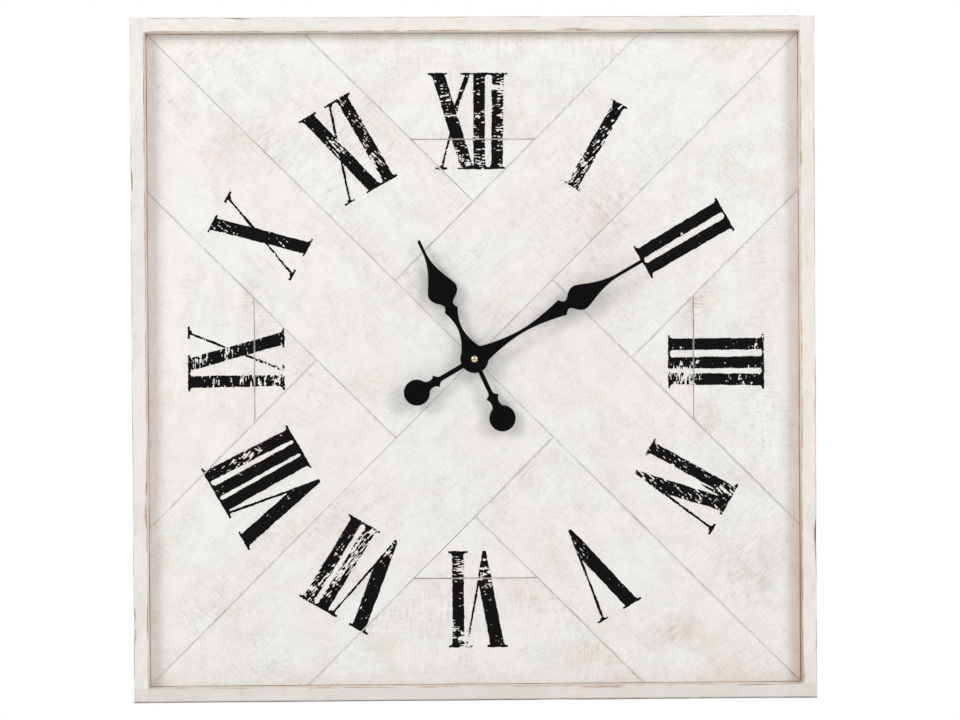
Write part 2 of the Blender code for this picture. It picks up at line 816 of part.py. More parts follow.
def meshing_phase(teeth, phase, other_teeth, angle):
    """The phase of the other wheel, which lies at an angle from this one, so that they mesh."""
    return angle + math.pi - ((phase - angle) * teeth + math.pi) / other_teeth


def gear(name, at, teeth, module, phase, low, high, finish=None, bore=None):
    holes = [circle(bore)[::-1]] if bore else []
    return plate(name, gear_outline(teeth, module, phase), low, high, finish, holes, at)


def wheel_span(depth):
    """The back and front of a wheel whose front lies at a depth in the case."""
    return deep(depth + WHEEL_THICK), deep(depth)


def compound(name, at, wheel, pinion, wheel_depth, pinion_depth, arbor):
    """A wheel and its pinion on one arbor. wheel and pinion are (teeth, module, phase)."""
    back, front = wheel_span(wheel_depth)
    obj = gear(name, at, *wheel, back, front, "white_acetal")
    middle = (back + front) / 2
    tooth = gear(f"{name}_pinion", at, *pinion, middle, deep(pinion_depth))
    shaft = rod(f"{name}_arbor", at, ARBOR_RADIUS, deep(arbor[1]), deep(arbor[0]), sides=12)
    return join(obj, tooth, shaft)


def build_motion_work():
    """Cannon pinion, minute wheel and hour wheel, 12 to 1, and the setting knob."""
    hour_deep = WHEEL_AIR
    minute_deep = MOTION_WORK_DEEP - WHEEL_THICK
    cannon_phase = MINUTE_WHEEL_ANGLE
    wheel_phase = meshing_phase(CANNON_TEETH, cannon_phase, MINUTE_WHEEL_TEETH, MINUTE_WHEEL_ANGLE)
    knob_phase = meshing_phase(MINUTE_WHEEL_TEETH, wheel_phase, KNOB_TEETH, KNOB_ANGLE)
    hour_phase = meshing_phase(HOUR_PINION_TEETH, 0, HOUR_WHEEL_TEETH, MINUTE_WHEEL_ANGLE + math.pi)

    # The hour wheel's tube carries the hour hand and turns in the bushing.
    back, front = wheel_span(hour_deep)
    hour_wheel = gear(
        "hour_wheel",
        HAND_AXIS,
        HOUR_WHEEL_TEETH,
        MOTION_MODULE,
        hour_phase,
        back,
        front,
        "white_acetal",
    )
    sleeve = rod(
        "hour_tube",
        HAND_AXIS,
        HOUR_TUBE_RADIUS,
        (back + front) / 2,
        HOUR_HAND_BACK + HAND_THICK + FIT,
    )
    join(hour_wheel, sleeve)
    cut(hour_wheel, rod("hour_bore", HAND_AXIS, HOUR_TUBE_BORE, back - FIT, MINUTE_HAND_BACK))

    # The minute arbor is hollow at its inner end, where the seconds wheel's pivot turns.
    arbor_back = deep(CENTRE_DEEP + WHEEL_THICK + WHEEL_AIR)
    back, front = wheel_span(minute_deep)
    arbor = gear(
        "minute_arbor",
        HAND_AXIS,
        CANNON_TEETH,
        MOTION_MODULE,
        cannon_phase,
        back,
        front,
        "white_acetal",
    )
    shaft_front = CAP_BACK + CAP_HEIGHT / 2
    join(arbor, rod("minute_shaft", HAND_AXIS, MINUTE_ARBOR_RADIUS, arbor_back, shaft_front))
    cup_end = arbor_back + 2 * WHEEL_THICK
    pivot = ARBOR_RADIUS + PIVOT_AIR
    cut(arbor, rod("arbor_cup", HAND_AXIS, pivot, arbor_back - FIT, cup_end, sides=12))

    compound(
        "minute_wheel",
        MINUTE_WHEEL_AT,
        (MINUTE_WHEEL_TEETH, MOTION_MODULE, wheel_phase),
        (HOUR_PINION_TEETH, MOTION_MODULE, 0),
        minute_deep,
        hour_deep,
        (FIT, MID_PLATE_DEEP + PLATE_THICK - FIT),
    )

    back, front = wheel_span(minute_deep)
    knob = gear(
        "setting_knob",
        KNOB_AT,
        KNOB_TEETH,
        MOTION_MODULE,
        knob_phase,
        back,
        front,
        "white_acetal",
    )
    join(
        knob,
        rod("knob_stem", KNOB_AT, KNOB_STEM_RADIUS, CASE_BACK - FIT - KNOB_THICK / 2, deep(FIT)),
        rod(
            "knob_disc",
            KNOB_AT,
            KNOB_RADIUS,
            CASE_BACK - FIT - KNOB_THICK,
            CASE_BACK - FIT,
        ),
    )


def build_train():
    """Rotor, intermediate, seconds, third and centre wheel: 1800 turns of the rotor to the hour."""
    teeth = TRAIN_PINION_TEETH
    ends = (MID_PLATE_DEEP + FIT, BRIDGE_DEEP + PLATE_THICK - FIT)
    intermediate_phase = meshing_phase(teeth, 0, INTERMEDIATE_TEETH, ROTOR_ANGLE + math.pi)
    seconds_phase = meshing_phase(teeth, 0, SECONDS_TEETH, INTERMEDIATE_ANGLE + math.pi)
    third_phase = meshing_phase(teeth, 0, THIRD_TEETH, THIRD_ANGLE)
    centre_phase = meshing_phase(teeth, 0, CENTRE_TEETH, THIRD_ANGLE + math.pi)

    back, front = wheel_span(CENTRE_DEEP)
    gear(
        "centre_wheel",
        HAND_AXIS,
        CENTRE_TEETH,
        CENTRE_MODULE,
        centre_phase,
        back,
        front,
        "white_acetal",
        bore=MINUTE_ARBOR_RADIUS + FIT,
    )
    compound(
        "third_wheel",
        THIRD_AT,
        (THIRD_TEETH, THIRD_MODULE, third_phase),
        (teeth, CENTRE_MODULE, 0),
        THIRD_DEEP,
        CENTRE_DEEP,
        ends,
    )
    compound(
        "seconds_wheel",
        HAND_AXIS,
        (SECONDS_TEETH, SECONDS_MODULE, seconds_phase),
        (teeth, THIRD_MODULE, 0),
        SECONDS_DEEP,
        THIRD_DEEP,
        (CENTRE_DEEP + WHEEL_THICK / 2, ends[1]),
    )
    compound(
        "intermediate_wheel",
        INTERMEDIATE_AT,
        (INTERMEDIATE_TEETH, ROTOR_MODULE, intermediate_phase),
        (teeth, SECONDS_MODULE, 0),
        INTERMEDIATE_DEEP,
        SECONDS_DEEP,
        ends,
    )
    middle = THIRD_DEEP + STATOR_THICK / 2
    rotor = rod(
        "rotor",
        ROTOR_AT,
        ROTOR_RADIUS,
        deep(middle + ROTOR_LENGTH / 2),
        deep(middle - ROTOR_LENGTH / 2),
        "magnet",
    )
    pinion = gear(
        "rotor_pinion",
        ROTOR_AT,
        teeth,
        ROTOR_MODULE,
        0,
        deep(INTERMEDIATE_DEEP + WHEEL_THICK),
        deep(middle),
    )
    arbor = rod("rotor_arbor", ROTOR_AT, ARBOR_RADIUS, deep(ends[1]), deep(ends[0]), sides=12)
    join(rotor, pinion, arbor)


# ---- Motor, circuit and battery ----


def build_motor():
    low, high = ROTOR_AT.y - STATOR_FOOT, ROTOR_AT.y + STATOR_FOOT
    slant = STATOR_FOOT - FIT
    inner_left = STATOR_LEFT + STATOR_LEG
    inner_right = STATOR_RIGHT - STATOR_LEG
    outline = [
        (STATOR_LEFT, STATOR_TOP),
        (STATOR_LEFT, low + slant),
        (STATOR_LEFT + slant, low),
        (STATOR_RIGHT - slant, low),
        (STATOR_RIGHT, low + slant),
        (STATOR_RIGHT, STATOR_TOP),
        (inner_right, STATOR_TOP),
        (inner_right, high),
        (inner_left, high),
        (inner_left, STATOR_TOP),
    ]
    front = deep(THIRD_DEEP)
    plate(
        "stator_plate",
        outline,
        front - STATOR_THICK,
        front,
        "silicon_steel",
        holes=[circle(STATOR_HOLE, ROTOR_AT)[::-1]],
    )
    core_front = front - STATOR_THICK - FIT
    axis = Vector((0, STATOR_TOP - CORE_WIDTH / 2, core_front - STATOR_THICK / 2))
    block(
        "coil_core",
        (STATOR_LEFT, STATOR_TOP - CORE_WIDTH, core_front - STATOR_THICK),
        (STATOR_RIGHT, STATOR_TOP, core_front),
        "silicon_steel",
    )
    left, right = inner_left + FIT, inner_right - FIT
    flange, barrel, rim = BOBBIN_FLANGE, BOBBIN_BARREL, COIL_RADIUS
    bobbin = turned(
        "coil_bobbin",
        [
            (0, right),
            (rim, right),
            (rim, right - flange),
            (barrel, right - flange),
            (barrel, left + flange),
            (rim, left + flange),
            (rim, left),
            (0, left),
        ],
        "white_acetal",
    )
    window = block(
        "core_window",
        (left - FIT, axis.y - CORE_WIDTH / 2 - FIT, axis.z - STATOR_THICK / 2 - FIT),
        (right + FIT, axis.y + CORE_WIDTH / 2 + FIT, axis.z + STATOR_THICK / 2 + FIT),
    )
    winding = tube(
        "coil_winding",
        HAND_AXIS,
        barrel + FIT,
        rim - FIT,
        left + flange + FIT,
        right - flange - FIT,
        "enamelled_copper",
    )
    for obj in (bobbin, winding):
        obj.location = axis
        obj.rotation_euler = (0, math.pi / 2, 0)
    cut(bobbin, window)


def build_circuit():
    inner = CASE_ROOM - 2 * FIT - 2 * CONTACT_THICK
    board_deep = MID_PLATE_DEEP + PLATE_THICK + FIT
    low = Vector((-inner, inner - BOARD_SIZE[1]))
    board = block(
        "circuit_board",
        (*low, deep(board_deep + BOARD_THICK)),
        (low.x + BOARD_SIZE[0], inner, deep(board_deep)),
        "circuit_board",
    )
    chip_low = low + Vector((CHIP_SIDE, CHIP_SIDE)) / 4
    chip = block(
        "driver_chip",
        (*chip_low, deep(board_deep + 2 * BOARD_THICK)),
        (chip_low.x + CHIP_SIDE, chip_low.y + CHIP_SIDE, deep(board_deep + BOARD_THICK / 2)),
    )
    join(board, chip)
    crystal = rod("quartz_crystal", HAND_AXIS, CRYSTAL_RADIUS, 0, CRYSTAL_LENGTH, "zinc_steel", 12)
    crystal.location = (
        low.x + BOARD_SIZE[0] / 2,
        inner - 1.5 * CRYSTAL_RADIUS,
        deep(board_deep + BOARD_THICK + FIT + CRYSTAL_RADIUS),
    )
    crystal.rotation_euler = (0, math.pi / 2, 0)


def build_battery():
    middle = CASE_INSIDE - FIT - BATTERY_RADIUS
    end, shoulder, radius = BATTERY_LENGTH / 2, BATTERY_LENGTH / 2 - BATTERY_NUB, BATTERY_RADIUS
    crimp = BATTERY_NUB / 2
    battery = turned(
        "aa_battery",
        [
            (0, end),
            (BATTERY_NUB_RADIUS, end),
            (BATTERY_NUB_RADIUS, shoulder),
            (radius - crimp, shoulder),
            (radius, shoulder - crimp),
            (radius, crimp - end),
            (radius - crimp, -end),
            (0, -end),
        ],
        "battery_jacket",
    )
    battery.location = (0, BATTERY_Y, middle)
    battery.rotation_euler = (0, math.pi / 2, 0)
    for name, side in (("positive", 1), ("negative", -1)):
        x = contact_x(side)
        half, reach = CONTACT_THICK / 2, CONTACT_WIDTH / 2
        contact = block(
            f"{name}_contact",
            (x - half, BATTERY_Y - reach, middle - reach),
            (x + half, BATTERY_Y + reach, middle + reach),
            "brass",
        )
        tab = block(
            f"{name}_tab",
            (x - half, BATTERY_Y, middle - reach / 2),
            (x + half, DIVIDER_TOP + CONTACT_RISE, middle + reach / 2),
        )
        join(contact, tab)


# ---- Hands ----


def blade(hand):
    """The right side of a hand's blade from its tip down to the hub, as (half width, radius)."""
    length, root = hand["length"], hand["root"]
    (waist_at, waist), (collar_at, collar), (notch_at, notch) = (
        hand[part] for part in ("waist", "collar", "notch")
    )
    (spade_at, spade), (needle_at, needle) = hand["spade"], hand["needle"]
    foot_at = math.sqrt(HUB_RADIUS**2 - root**2)
    rise, fall = spade_at - notch_at, needle_at - spade_at
    points = [Vector((0, length)), Vector((0.7 * needle, length - 0.3 * needle))]
    points.append(Vector((needle, length - needle)))
    points.append(Vector((needle, needle_at)))
    points += bezier(
        points[-1],
        (1.25 * needle, needle_at - 0.51 * fall),
        (spade, spade_at + 0.15 * fall),
        (spade, spade_at),
    )
    points += bezier(
        points[-1],
        (0.98 * spade, spade_at - 0.58 * rise),
        (1.17 * notch, notch_at + 0.31 * rise),
        (notch, notch_at),
        steps=6,
    )
    points += bezier(
        points[-1],
        (1.08 * notch, notch_at - 0.5 * (notch_at - collar_at)),
        (0.85 * collar, collar_at + 0.15 * (notch_at - collar_at)),
        (collar, collar_at),
        steps=3,
    )
    points += bezier(
        points[-1],
        (0.62 * collar, collar_at - 0.3 * (collar_at - waist_at)),
        (waist, waist_at + 0.35 * (collar_at - waist_at)),
        (waist, waist_at),
        steps=6,
    )
    points += bezier(
        points[-1],
        (waist, waist_at - 0.35 * (waist_at - foot_at)),
        (0.58 * root, foot_at + 0.28 * (waist_at - foot_at)),
        (root, foot_at),
        steps=6,
    )
    return points


def tail(hand):
    """The right side of a hand's tail from the hub down to the end of its round weight."""
    stem, (barb_at, barb), (neck_at, neck) = hand["stem"], hand["barb"], hand["neck"]
    weight_at, weight = hand["weight"]
    foot_at = math.sqrt(HUB_RADIUS**2 - stem**2)
    points = [Vector((stem, -foot_at)), Vector((stem, -0.87 * barb_at))]
    points += bezier(
        points[-1],
        (stem, -0.92 * barb_at),
        (0.55 * barb, -0.95 * barb_at),
        (barb, -barb_at),
        steps=3,
    )
    points += bezier(
        points[-1],
        (0.62 * barb, -barb_at - 0.35 * (neck_at - barb_at)),
        (neck, -neck_at + 0.45 * (neck_at - barb_at)),
        (neck, -neck_at),
        steps=3,
    )
    start = math.radians(62)
    shoulder = Vector((0, -weight_at)) + polar(weight, start)
    points += bezier(
        points[-1],
        (1.04 * neck, -neck_at - 0.32 * (weight_at - neck_at - weight * math.sin(start)) - 0.001),
        (shoulder.x - 0.35 * neck, shoulder.y + 0.0009),
        shoulder,
        steps=3,
    )
    points += arc(Vector((0, -weight_at)), weight, start, -math.pi / 2, 12)[1:]
    return points


def hand_outline(hand):
    """Both sides, clockwise from the tip, with the hub's round edge between blade and tail."""
    side = blade(hand)
    root = math.pi / 2 - math.asin(hand["root"] / HUB_RADIUS)
    stem = math.asin(hand["stem"] / HUB_RADIUS) - math.pi / 2
    side += arc(HAND_AXIS, HUB_RADIUS, root, stem, 8)[1:-1]
    side += tail(hand)
    other = [Vector((-point.x, point.y)) for point in side[-2:0:-1]]
    return side + other


def build_hand(name, hand, clockwise, back, bore):
    obj = plate(
        name,
        hand_outline(hand)[::-1],
        back,
        back + HAND_THICK,
        "black_paint",
        holes=[circle(bore)],
    )
    obj.rotation_euler = (0, 0, -clockwise)
    return obj


def build_hands():
    minute = math.tau * MINUTES_SHOWN / 60
    hour = math.tau * (HOUR_SHOWN + MINUTES_SHOWN / 60) / 12
    build_hand("hour_hand", HOUR_HAND, hour, HOUR_HAND_BACK, HOUR_TUBE_RADIUS + FIT)
    build_hand("minute_hand", MINUTE_HAND, minute, MINUTE_HAND_BACK, MINUTE_ARBOR_RADIUS + FIT)
    bore = MINUTE_ARBOR_RADIUS + FIT
    brim = CAP_HEIGHT * CAP_BRIM
    turns = [math.pi / 2 * i / CAP_STEPS for i in range(CAP_STEPS + 1)]
    dome = [
        (CAP_RADIUS * math.sin(turn), brim + (CAP_HEIGHT - brim) * math.cos(turn)) for turn in turns
    ]
    roof = CAP_HEIGHT / 2 + FIT
    profile = dome + [(CAP_RADIUS, 0), (bore, 0), (bore, roof), (0, roof)]
    cap = turned("cap_nut", profile, "brass")
    cap.location = (0, 0, CAP_BACK)


build_rails()
build_planks()
build_backer()
build_hanger()
build_bumpers()
build_case()
build_clamping()
build_plates()
build_motion_work()
build_train()
build_motor()
build_circuit()
build_battery()
build_hands()
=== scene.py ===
"""Square wall clock: white pinwheel planks in a scraped wood frame, stencilled Roman numerals,
two spade hands and a battery quartz movement on the back. One operator makes each group of
pieces."""

import json
import math

import bmesh
import bpy
import numpy as np
from bpy.props import FloatProperty, FloatVectorProperty, PointerProperty
from mathutils import Matrix, Vector, noise

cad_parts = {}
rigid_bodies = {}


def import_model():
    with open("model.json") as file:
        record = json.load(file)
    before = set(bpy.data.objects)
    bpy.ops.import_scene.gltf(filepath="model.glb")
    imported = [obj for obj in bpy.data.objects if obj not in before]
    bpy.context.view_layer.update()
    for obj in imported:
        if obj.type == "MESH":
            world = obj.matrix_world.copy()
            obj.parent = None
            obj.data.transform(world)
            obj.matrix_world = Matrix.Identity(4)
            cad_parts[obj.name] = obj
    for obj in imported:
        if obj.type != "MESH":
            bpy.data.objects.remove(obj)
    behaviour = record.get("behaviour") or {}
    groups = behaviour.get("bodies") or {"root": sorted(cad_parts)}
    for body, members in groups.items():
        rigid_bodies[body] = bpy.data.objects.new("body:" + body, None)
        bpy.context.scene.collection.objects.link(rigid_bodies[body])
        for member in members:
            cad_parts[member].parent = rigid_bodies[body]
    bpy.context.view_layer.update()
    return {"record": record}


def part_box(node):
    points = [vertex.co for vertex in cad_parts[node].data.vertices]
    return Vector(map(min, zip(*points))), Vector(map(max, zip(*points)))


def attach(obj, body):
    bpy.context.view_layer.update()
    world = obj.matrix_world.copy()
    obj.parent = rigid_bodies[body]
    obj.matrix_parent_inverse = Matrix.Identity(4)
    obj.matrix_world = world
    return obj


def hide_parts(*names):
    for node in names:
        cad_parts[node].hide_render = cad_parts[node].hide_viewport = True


bl_info = {
    "name": "Whitewashed plank wall clock",
    "version": (1, 0, 0),
    "blender": (4, 5, 0),
    "location": "3D View > Sidebar > Wall clock",
    "description": "Makes the wood, paint, hands and movement of a square plank wall clock",
    "category": "Add Mesh",
}

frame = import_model()

MM = 0.001
CLOCK = "clock_body"


def middle(node):
    low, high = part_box(node)
    return (low + high) / 2


# ---- Places that the frame gives ----
AXIS = middle("hex_nut")  # the hands turn about the line through this point, along Y
PLANK_FRONT, PLANK_BACK = (corner.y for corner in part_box("plank_long_top"))
RAIL_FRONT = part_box("frame_rail_left")[0].y
RAIL_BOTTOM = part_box("frame_rail_bottom")[0].z
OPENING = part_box("frame_rail_right")[0].x
FRAME_GAP = 0.3 * MM  # between the planks and the rails
TIP_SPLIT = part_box("plank_edge_right")[0].x - FRAME_GAP
QUARTERS = {"right": 0, "top": 1, "left": 2, "bottom": 3}


def linear(hex_colour):
    """An sRGB hex colour as linear red, green, blue and alpha."""
    parts = [int(hex_colour[i : i + 2], 16) / 255 for i in (1, 3, 5)]
    return (*(c / 12.92 if c <= 0.04045 else ((c + 0.055) / 1.055) ** 2.4 for c in parts), 1.0)


def colour_prop(name, description, hex_colour):
    return FloatVectorProperty(
        name=name, description=description, subtype="COLOR", size=4, min=0, max=1,
        default=linear(hex_colour),
    )


def length_prop(name, description, default):
    return FloatProperty(name=name, description=description, default=default, unit="LENGTH",
                         precision=5)


class ClockSizes(bpy.types.PropertyGroup):
    plank_width: length_prop("Plank width", "Width of the long and the short planks", 0.100)
    plank_gap: length_prop("Plank gap", "Open joint between two planks", 0.12 * MM)
    plank_arris: length_prop("Plank arris", "Width of the eased edge of a plank", 0.42 * MM)
    plank_wave: length_prop("Plank wave", "How far a plank's face rises and falls", 0.16 * MM)
    plank_step: length_prop("Plank step", "How far one plank may stand over the next", 0.10 * MM)
    rail_arris: length_prop("Rail arris", "Usual width of the rails' scraped edge", 0.85 * MM)
    ink_grid: length_prop("Ink grid", "Spacing at which the edge of the ink is drawn", 0.42 * MM)
    ink_thick: length_prop("Ink thickness", "Thickness of the ink film", 0.05 * MM)
    stem_width: length_prop("Stem width", "Width of a numeral's thick stroke", 10.6 * MM)
    hair_width: length_prop("Hairline width", "Width of a numeral's thin stroke", 2.1 * MM)
    cap_height: length_prop("Cap height", "Height of the numerals", 86.5 * MM)
    hand_arris: length_prop("Hand arris", "Rounding of the stamped hands' edges", 0.12 * MM)


class ClockColours(bpy.types.PropertyGroup):
    warm_white: colour_prop("Warm white", "Main coat of whitewash", "#F4EFEC")
    cool_white: colour_prop("Cool white", "Thicker coat of whitewash", "#F2F3F0")
    rail_white: colour_prop("Rail white", "Paint on the rails", "#E7E4DE")
    # Rubbed paint also colours the planks' painted shade beside the side rails
    rubbed: colour_prop("Rubbed paint", "Where the wood shows through thin paint", "#E0C9B3")
    # Smudge also paints the shade low on the frame
    smudge: colour_prop("Smudge", "Grey dirt held in the saw marks", "#BFB6AE")
    seam_dirt: colour_prop("Seam dirt", "Grey-brown dirt in the open joints", "#8C7B6F")
    worn_wood: colour_prop("Worn wood", "Bare wood along worn edges", "#A98665")
    # Dark wood also paints the shadow along the frame's lower edge
    dark_wood: colour_prop("Dark wood", "Dirt in the deepest scrapes", "#5B4636")
    ink: colour_prop("Ink", "Stencil ink of the numerals", "#0A0909")
    enamel: colour_prop("Hand enamel", "Stoved enamel on the hands", "#060607")
    brass: colour_prop("Brass", "Cap nut, nut and washer", "#EAD9AE")
    steel: colour_prop("Zinc", "Zinc plate on the hanger and nails", "#B9BCC0")
    plywood: colour_prop("Plywood", "Face veneer of the backer", "#C9A77C")
    pine: colour_prop("Pine", "Sapwood of the batten", "#D6B384")
    plastic: colour_prop("Case plastic", "Moulded ABS of the movement", "#1B1B1C")


# ---- Making and shaping pieces ----


def only_nothing():
    """Leaves edit mode and deselects everything."""
    if bpy.context.mode != "OBJECT":
        bpy.ops.object.mode_set(mode="OBJECT")
    bpy.ops.object.select_all(action="DESELECT")


def only(obj):
    """Selects one object and nothing else, and makes it active."""
    only_nothing()
    obj.select_set(True)
    bpy.context.view_layer.objects.active = obj
    return obj


def added():
    """The object that the last primitive made, with its place and size in its mesh."""
    obj = only(bpy.context.object)
    bpy.ops.object.transform_apply(location=True, rotation=True, scale=True)
    return obj


def block(low, high):
    """A box between two corners."""
    low, high = Vector(low), Vector(high)
    only_nothing()
    bpy.ops.mesh.primitive_cube_add(size=1, location=(low + high) / 2, scale=high - low)
    return added()


def disc(centre, radius, depth, axis="Y", sides=48):
    """A cylinder whose axis is X, Y or Z."""
    turn = {"X": (0, math.pi / 2, 0), "Y": (math.pi / 2, 0, 0), "Z": (0, 0, 0)}[axis]
    only_nothing()
    bpy.ops.mesh.primitive_cylinder_add(
        vertices=sides, radius=radius, depth=depth, location=centre, rotation=turn
    )
    return added()


def pick(obj, kind, test):
    """In edit mode, selects only the vertices, edges or faces that pass the test."""
    bpy.ops.mesh.select_mode(type={"verts": "VERT", "edges": "EDGE", "faces": "FACE"}[kind])
    bpy.ops.mesh.select_all(action="DESELECT")
    mesh = bmesh.from_edit_mesh(obj.data)
    for item in getattr(mesh, kind):
        if test(item):
            item.select_set(True)
    mesh.select_flush_mode()
    bmesh.update_edit_mesh(obj.data)


def edit(obj):
    only(obj)
    bpy.ops.object.mode_set(mode="EDIT")
    return obj


def done(obj):
    bpy.ops.object.mode_set(mode="OBJECT")
    return obj


def edge_middle(edge):
    return (edge.verts[0].co + edge.verts[1].co) / 2


def edge_along(edge, axis, slack=0.999):
    """True if the edge runs along an axis."""
    line = edge.verts[1].co - edge.verts[0].co
    return line.length > 0 and abs(line.normalized().dot(Vector(axis))) > slack


def bevel_edges(obj, test, width, segments=2):
    edit(obj)
    pick(obj, "edges", test)
    bpy.ops.mesh.bevel(offset=width, segments=segments, affect="EDGES", clamp_overlap=True)
    return done(obj)


def add_modifier(obj, kind, **settings):
    modifier = obj.modifiers.new(kind.title(), kind)
    for key, value in settings.items():
        setattr(modifier, key, value)
    only(obj)
    bpy.ops.object.modifier_apply(modifier=modifier.name)
    return obj


def round_edges(obj, width, segments=2, angle=40):
    return add_modifier(
        obj, "BEVEL", width=width, segments=segments, limit_method="ANGLE",
        angle_limit=math.radians(angle),
    )


def carve(obj, *cutters, operation="DIFFERENCE"):
    """Cuts or joins with other objects, which are then removed."""
    for cutter in cutters:
        add_modifier(obj, "BOOLEAN", object=cutter, operation=operation, solver="EXACT")
        bpy.data.objects.remove(cutter, do_unlink=True)
    return obj


def copy_of(node):
    """A merged copy of a CAD node's mesh, to be shaped further."""
    obj = bpy.data.objects.new("copy", bpy.data.objects[node].data.copy())
    bpy.context.scene.collection.objects.link(obj)
    obj.data.materials.clear()
    edit(obj)
    bpy.ops.mesh.select_all(action="SELECT")
    bpy.ops.mesh.remove_doubles(threshold=0.001 * MM)
    bpy.ops.mesh.dissolve_limited(angle_limit=math.radians(0.5))
    return done(obj)


def smooth(obj, angle=35):
    """Shades the curved parts smooth and keeps the flat ones flat."""
    only(obj)
    bpy.ops.object.shade_smooth_by_angle(angle=math.radians(angle))
    return add_modifier(obj, "WEIGHTED_NORMAL", keep_sharp=True)


def settle(obj, name, finish, body, slot, *nodes):
    """Names a finished piece, gives it a finish and hangs it on its body."""
    obj.name = obj.data.name = name
    obj.data.materials.clear()
    obj.data.materials.append(FINISHES[finish])
    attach(obj, body)
    if nodes:
        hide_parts(*nodes)
    return obj


def welded(obj, reach):
    """Merges the points of a new piece that lie within reach, and turns its faces outwards."""
    edit(obj)
    bpy.ops.mesh.select_all(action="SELECT")
    bpy.ops.mesh.remove_doubles(threshold=reach)
    bpy.ops.mesh.normals_make_consistent(inside=False)
    return done(obj)


def applied(obj, place):
    """Puts a piece at a place, given as a matrix, and moves that place into its mesh."""
    obj.matrix_world = place
    only(obj)
    bpy.ops.object.transform_apply(location=True, rotation=True, scale=True)
    return obj


def filled_plate(outlines, thick, arris, place):
    """A flat plate made about the origin in X and Y, and put at its place: outlines filled as
    one curve, the second one a hole, made thick, with rounded edges."""
    curve = bpy.data.curves.new("outline", "CURVE")
    curve.dimensions, curve.fill_mode = "2D", "BOTH"
    for outline in outlines:
        spline = curve.splines.new("POLY")
        spline.points.add(len(outline) - 1)
        for point, at in zip(spline.points, outline):
            point.co = (*at, 0, 1)
        spline.use_cyclic_u = True
    curve.extrude = thick / 2 - arris
    curve.bevel_depth, curve.bevel_resolution, curve.offset = arris, 1, -arris
    obj = bpy.data.objects.new("plate", curve)
    bpy.context.scene.collection.objects.link(obj)
    only(obj)
    bpy.ops.object.convert(target="MESH")
    return welded(applied(bpy.context.object, place), 0.002 * MM)


def set_attribute(obj, name, kind, values):
    data = obj.data.attributes.new(name, kind, "POINT")
    key = "vector" if kind == "FLOAT_VECTOR" else "value"
    data.data.foreach_set(key, np.asarray(values, np.float32).ravel())


def points_of(obj):
    points = np.empty(len(obj.data.vertices) * 3, np.float32)
    obj.data.vertices.foreach_get("co", points)
    return points.reshape(-1, 3).astype(float)


def lay_grain(obj, along, shift):
    """Stores for each point its place in its own stick of wood: along, across, and into it."""
    along = Vector(along).normalized()
    across = along.cross(Vector((0, 1, 0))).normalized()
    axes = np.array([along, across, (0, 1, 0)])
    set_attribute(obj, "grain", "FLOAT_VECTOR", points_of(obj) @ axes.T + np.array(shift))


# ---- Finishes ----

FACTOR, COLOUR_A, COLOUR_B, COLOUR_OUT = 0, 6, 7, 2  # sockets of a Mix node that mixes colours


def add_node(tree, kind, inputs=None, ramp=(), **settings):
    """Adds a shader node with its settings. An input is a value, a node or a socket, and a ramp
    gives the place where a black-to-white ramp starts to rise and the place where it is white."""
    node = tree.nodes.new("ShaderNode" + kind)
    for key, value in settings.items():
        setattr(node, key, value)
    for number, place in enumerate(ramp):
        node.color_ramp.elements[number].position = place
    for key, value in (inputs or {}).items():
        if isinstance(value, bpy.types.Node):
            value = value.outputs[COLOUR_OUT if value.bl_idname == "ShaderNodeMix" else 0]
        if isinstance(value, bpy.types.NodeSocket):
            tree.links.new(value, node.inputs[key])
        else:
            node.inputs[key].default_value = value
    return node


def new_finish(name):
    material = bpy.data.materials.new(name)
    material.use_nodes = True
    tree = material.node_tree
    return material, tree, tree.nodes["Principled BSDF"]


def mottling(tree, source, scale, detail=3, roughness=0.6, turn=0.0, offset=(0, 0, 0)):
    """Uneven patches whose grain is 1 / scale metres along each axis of the source."""
    laid = {"Vector": source, "Scale": scale, "Rotation": (0, 0, turn), "Location": offset}
    grain = {"Vector": add_node(tree, "Mapping", laid), "Detail": detail, "Roughness": roughness}
    return add_node(tree, "TexNoise", {**grain, "Scale": 1.0})


def overlap(tree, amount, *masks):
    """An amount times every mask. A mask is a value, or a value and the two levels between which
    it rises from nothing to its full strength."""
    for mask in masks:
        if isinstance(mask, tuple):
            mask = add_node(tree, "ValToRGB", {"Fac": mask[0]}, ramp=mask[1:])
        amount = add_node(tree, "Math", {0: mask, 1: amount}, operation="MULTIPLY")
    return amount


def lay_coats(tree, coat, *coats):
    """Lays colours over a first coat, each as strongly as its amount and its masks overlap."""
    for colour, amount, *masks in coats:
        shown = overlap(tree, amount, *masks)
        coat = add_node(
            tree, "Mix", {FACTOR: shown, COLOUR_A: coat, COLOUR_B: colour}, data_type="RGBA"
        )
    return coat


def complete(tree, shader, coat, gloss, depth, height, *others):
    """Joins a surface's colour, roughness and relief to its shader. Gloss is a pattern, how much
    of it shows and the least roughness. The relief, of a depth in metres, is the sum of a first
    pattern and of others times their weights."""
    for part, weight in others:
        height = add_node(tree, "Math", {0: part, 1: weight, 2: height}, operation="MULTIPLY_ADD")
    rough = add_node(tree, "Math", dict(enumerate(gloss)), operation="MULTIPLY_ADD")
    bump = add_node(tree, "Bump", {"Height": height, "Distance": depth, "Strength": 1.0})
    tree.links.new(coat.outputs[COLOUR_OUT], shader.inputs["Base Color"])
    tree.links.new(rough.outputs[0], shader.inputs["Roughness"])
    tree.links.new(bump.outputs[0], shader.inputs["Normal"])


